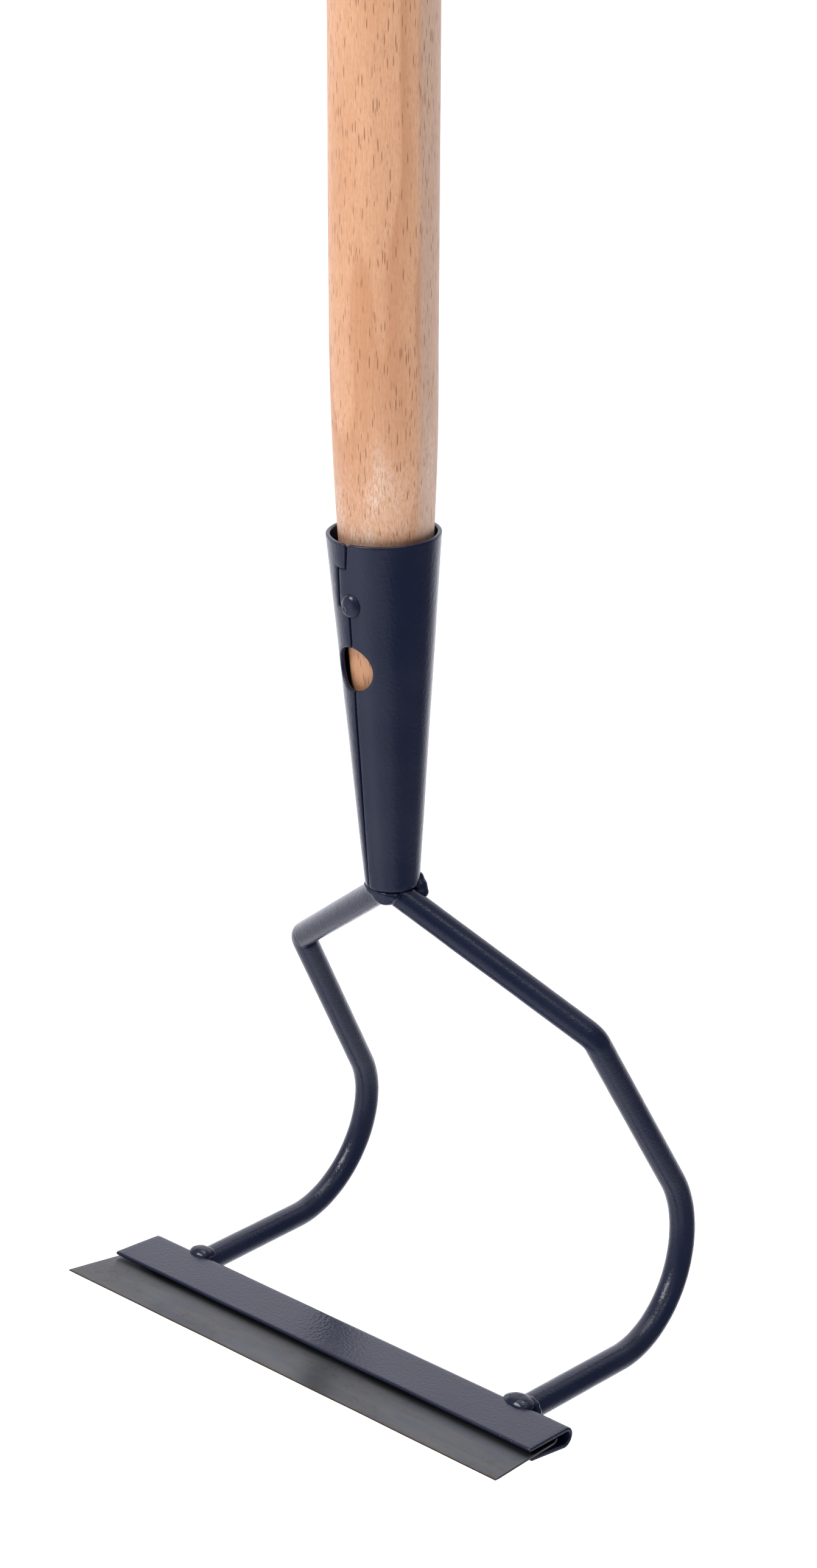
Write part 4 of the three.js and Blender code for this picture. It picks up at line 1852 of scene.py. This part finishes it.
@dataclass
class StripBlade:
    """The thin steel strip that is pinched in the fold, sharp in front and curled at its back.

    Attributes:
        edge_length: along the cutting edge.
        back_length: along the curl.
        thickness: of the strip.
        edge: (y, z) of the upper face at the cutting edge.
        rise_deg: how much the strip rises to the front.
        curl_start: y where the curl starts.
        curl_radius: of the curl's centre line.
        curl_turn_deg: how far it curls.
        bevel: width of the ground underside.
        edge_thickness: left at the cutting edge.
        easing: how much the strip's ends are rounded.
        waviness: how far the cutting edge strays up and down.
    """

    edge_length: float = 168.9
    back_length: float = 164.2
    thickness: float = 0.7
    edge: Point2 = (-61.5, -134.3)
    rise_deg: float = 12.4
    curl_start: float = -31.6
    curl_radius: float = 1.6
    curl_turn_deg: float = 75.0
    bevel: float = 2.4
    edge_thickness: float = 0.5
    easing: float = 0.1
    waviness: float = 0.12

    def centre_line(self) -> tuple[list[Point2], list[float]]:
        """The strip's centre line from the cutting edge back through the curl.

        Returns:
            The (y, z) points, and the half thickness at each.
        """
        slope = math.radians(self.rise_deg)
        back = (math.cos(slope), -math.sin(slope))
        up = (math.sin(slope), math.cos(slope))
        flat = (self.curl_start - self.edge[0]) / math.cos(slope)
        points, half = [], []
        distances = [0.0, 0.08, 0.3, 0.8, 1.6] + list(np.linspace(self.bevel, flat, 14))
        for distance in distances:
            grown = min(distance / self.bevel, 1.0)
            thick = self.edge_thickness + (self.thickness - self.edge_thickness) * grown
            thick *= 0.72 + 0.28 * min(distance / 0.3, 1.0)
            points.append(tuple(self.edge[k] + back[k] * distance - up[k] * thick / 2 for k in range(2)))
            half.append(thick / 2)
        lift = self.curl_radius - self.thickness / 2
        centre = tuple(self.edge[k] + back[k] * flat + up[k] * lift for k in range(2))
        start = -math.pi / 2 - slope
        curl_steps = 12
        for i in range(1, curl_steps + 1):
            turn = start + math.radians(self.curl_turn_deg) * i / curl_steps
            y = centre[0] + self.curl_radius * math.cos(turn)
            z = centre[1] + self.curl_radius * math.sin(turn)
            points.append((y, z))
            half.append(self.thickness / 2 * (0.8 if i == curl_steps else 1.0))
        return points, half

    def build(self, head: HeadFrame, look: bpy.types.Material) -> None:
        """Makes and dresses the blade.

        Args:
            head: places it.
            look: its finish.
        """
        centre, half = self.centre_line()
        lengths = []
        for y, _ in centre:
            along = min((y - self.edge[0]) / (self.curl_start - self.edge[0]), 1.0)
            lengths.append((self.edge_length + (self.back_length - self.edge_length) * along) / 2)
        waver = [self.waviness * (1 - smooth_step(self.edge[0], self.edge[0] + 12, y)) for y, _ in centre]
        strip = Strip(centre, half, lengths, self.easing, waver)
        piece = strip.draft(120).build("strip_blade", head.matrix(), sharp_deg=35)
        settle(piece, Body.BLADE, Slot.BARE_STEEL, look, ["blade"])


# ---------------------------------------------------------------- studio


@dataclass(frozen=True)
class Lobe:
    """Light that changes softly towards one direction.

    Attributes:
        towards: the lobe's middle.
        reach: cosines where it starts and where it is full.
        shine: strength that it adds outside and inside, where less than 0 dims the room.
    """

    towards: Point3
    reach: Point2
    shine: Point2


@dataclass(frozen=True)
class Softbox:
    """A square soft light that points at the neck.

    Attributes:
        name: of the light.
        place: where it hangs, in metres.
        size: of its side, in metres.
        watts: its power.
    """

    name: str
    place: Point3
    size: float
    watts: float

    def hang(self, aim: Point3) -> None:
        """Hangs the light.

        Args:
            aim: what it points at.
        """
        data = bpy.data.lights.new(self.name, "AREA")
        data.shape = "SQUARE"
        data.size = self.size
        data.energy = self.watts
        made = bpy.data.objects.new(self.name, data)
        made.location = self.place
        made.rotation_euler = (Vector(self.place) - Vector(aim)).to_track_quat("Z", "Y").to_euler()
        bpy.context.scene.collection.objects.link(made)


@dataclass
class Studio:
    """Camera, floor and soft light.

    Attributes:
        eye: the camera's place, in metres.
        azimuth_deg: of the camera around the object, from the front to the right.
        elevation_deg: of the camera above the horizon.
        roll_deg: of the camera.
        lens: in millimetres on the sensor.
        sensor: in millimetres.
        neck: where the lights point, in metres.
        drop: of the floor below the hoe.
        floor_radii: of the round floor's rings, from the outside in.
        tint: colour of the room's light.
        dimmest: the room's least strength.
        lobes: the room's light: pale below, dimmer behind, dim around the camera and to the sides.
        softboxes: the lights that hang above.
    """

    eye: Point3 = (0.444529, -0.526532, -0.513074)
    azimuth_deg: float = 39.586
    elevation_deg: float = 20.776
    roll_deg: float = 0.227
    lens: float = 59.339
    sensor: float = 36.0
    neck: Point3 = (0.0, 0.0, -0.8)
    drop: float = 0.3
    floor_radii: tuple[float, ...] = (60.0, 4.0, 0.8)
    tint: Colour = (0.985, 0.98, 1.06, 1)
    dimmest: float = 0.08
    lobes: tuple[Lobe, ...] = (
        Lobe((-0.35, -0.1, -1.0), (0.0, 0.5), (0.38, 0.85)),
        Lobe((-0.638, 0.770, 0.1), (0.2, 0.9), (0.0, 0.7)),
        Lobe((0.72, -0.60, -0.35), (0.45, 0.95), (0.0, -0.34)),
        Lobe((0.88, 0.40, -0.2), (0.3, 0.9), (0.0, -0.38)),
        Lobe((-0.78, -0.16, -0.6), (0.6, 0.95), (0.0, -0.28)),
    )
    softboxes: tuple[Softbox, ...] = (
        Softbox("high_right_softbox", (1.5, -0.55, 0.9), 0.45, 0.9),
        Softbox("high_right_lamp_0", (1.35, -0.72, 0.85), 0.06, 0.22),
        Softbox("high_right_lamp_1", (1.35, -0.54, 0.85), 0.06, 0.22),
        Softbox("high_right_lamp_2", (1.35, -0.36, 0.85), 0.06, 0.22),
        Softbox("high_left_softbox", (-0.4, -1.62, 1.0), 0.9, 25.0),
        Softbox("overhead_softbox", (0.0, 0.2, 1.6), 1.2, 16.0),
    )

    def camera(self) -> None:
        """Places the camera."""
        azimuth, elevation = math.radians(self.azimuth_deg), math.radians(self.elevation_deg)
        back = Vector((math.sin(azimuth) * math.cos(elevation), -math.cos(azimuth) * math.cos(elevation),
                       math.sin(elevation)))
        right = Vector((0, 0, 1)).cross(back).normalized()
        up = back.cross(right)
        roll = math.radians(self.roll_deg)
        rolled_right = right * math.cos(roll) + up * math.sin(roll)
        rolled_up = up * math.cos(roll) - right * math.sin(roll)
        data = bpy.data.cameras.new("camera")
        data.lens = self.lens
        data.sensor_width = self.sensor
        data.sensor_fit = "AUTO"
        data.clip_start = 0.01
        data.clip_end = 200.0
        made = bpy.data.objects.new("camera", data)
        turn = Matrix((rolled_right, rolled_up, back)).transposed().to_4x4()
        made.matrix_world = Matrix.Translation(self.eye) @ turn
        bpy.context.scene.collection.objects.link(made)
        bpy.context.scene.camera = made

    def floor(self, lowest: float, look: bpy.types.Material) -> None:
        """Lays the round floor.

        Args:
            lowest: height of the hoe's lowest point.
            look: its finish.
        """
        made = Draft()
        rings = [[(radius * c, radius * s, 0.0) for c, s in circle(96)] for radius in self.floor_radii]
        rows = [made.add(ring) for ring in rings]
        for outer, inner in zip(rows, rows[1:]):
            made.bridge(outer, inner)
        made.cap(rows[-1])
        piece = made.build("floor", Matrix.Translation((0, 0, lowest - self.drop)))
        piece.data.materials.append(look)
        piece.visible_glossy = False
        piece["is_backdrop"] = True

    def room(self) -> None:
        """Fills the room with soft light, in front of a white backdrop."""
        world = bpy.data.worlds.new("room")
        bpy.context.scene.world = world
        world.use_nodes = True
        tree = world.node_tree
        tree.nodes.clear()
        light = self.strength(tree)
        glow = tree.nodes.new("ShaderNodeBackground")
        glow.inputs["Color"].default_value = self.tint
        tree.links.new(light, glow.inputs["Strength"])
        backdrop = tree.nodes.new("ShaderNodeBackground")
        backdrop.inputs["Color"].default_value = (1, 1, 1, 1)
        seen = tree.nodes.new("ShaderNodeLightPath")
        pick = tree.nodes.new("ShaderNodeMixShader")
        tree.links.new(seen.outputs["Is Camera Ray"], pick.inputs["Fac"])
        tree.links.new(glow.outputs["Background"], pick.inputs[1])
        tree.links.new(backdrop.outputs["Background"], pick.inputs[2])
        out = tree.nodes.new("ShaderNodeOutputWorld")
        tree.links.new(pick.outputs["Shader"], out.inputs["Surface"])

    def strength(self, tree: bpy.types.NodeTree) -> bpy.types.NodeSocket:
        """Adds up the lobes.

        Args:
            tree: the world's nodes.

        Returns:
            The room's strength in each direction.
        """
        here = tree.nodes.new("ShaderNodeTexCoord").outputs["Generated"]
        parts = [self.lobe(tree, here, lobe) for lobe in self.lobes]
        total = parts[0]
        for part in parts[1:]:
            total = self.combine(tree, "ADD", total, part)
        least = tree.nodes.new("ShaderNodeValue").outputs["Value"]
        least.default_value = self.dimmest
        return self.combine(tree, "MAXIMUM", total, least)

    @staticmethod
    def lobe(tree: bpy.types.NodeTree, here: bpy.types.NodeSocket, lobe: Lobe) -> bpy.types.NodeSocket:
        """The nodes of one lobe.

        Args:
            tree: the world's nodes.
            here: the direction that is looked in.
            lobe: the lobe.

        Returns:
            Its strength.
        """
        facing = tree.nodes.new("ShaderNodeVectorMath")
        facing.operation = "DOT_PRODUCT"
        facing.inputs[1].default_value = Vector(lobe.towards).normalized()
        tree.links.new(here, facing.inputs[0])
        ramp = tree.nodes.new("ShaderNodeMapRange")
        ramp.interpolation_type = "SMOOTHSTEP"
        for key, value in zip(("From Min", "From Max", "To Min", "To Max"), lobe.reach + lobe.shine):
            ramp.inputs[key].default_value = value
        tree.links.new(facing.outputs["Value"], ramp.inputs["Value"])
        return ramp.outputs["Result"]

    @staticmethod
    def combine(tree: bpy.types.NodeTree, operation: str, first: bpy.types.NodeSocket,
                second: bpy.types.NodeSocket) -> bpy.types.NodeSocket:
        """Combines two strengths.

        Args:
            tree: the world's nodes.
            operation: the Math node's operation.
            first: a strength.
            second: a strength.

        Returns:
            The result.
        """
        made = tree.nodes.new("ShaderNodeMath")
        made.operation = operation
        tree.links.new(first, made.inputs[0])
        tree.links.new(second, made.inputs[1])
        return made.outputs["Value"]

    def build(self, lowest: float) -> None:
        """Sets the whole studio up.

        Args:
            lowest: height of the hoe's lowest point.
        """
        bpy.context.scene.view_settings.view_transform = "Standard"
        self.camera()
        self.floor(lowest, StudioPaper().material())
        self.room()
        for softbox in self.softboxes:
            softbox.hang(self.neck)


def main() -> None:
    """Builds the hoe's pieces in order, and then the studio."""
    logging.basicConfig(level=logging.INFO, format="%(name)s: %(message)s")
    cad_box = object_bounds()
    head = HeadFrame()
    navy = PowderCoat().material()
    rod_navy = PowderCoat("navy_rod_coat", peel_mm=0.7, peel_depth_mm=0.09, grit_depth_mm=0.03).material()
    Handle().build(head, Beech(mouth_height=head.mouth_height).material())
    Socket().build(head, navy)
    SeamTack().build(head, navy)
    HandleScrew().build(head, ZincPlate().material())
    BowArm(Side.LEFT).build(head, rod_navy)
    BowArm(Side.RIGHT).build(head, rod_navy)
    BowWelds().build(head, navy)
    BladeHolder().build(head, navy)
    StripBlade().build(head, BareSteel(edge_y=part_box("blade")[0].y).material())
    Studio().build(cad_box[0][2])


if __name__ == "__main__":
    main()
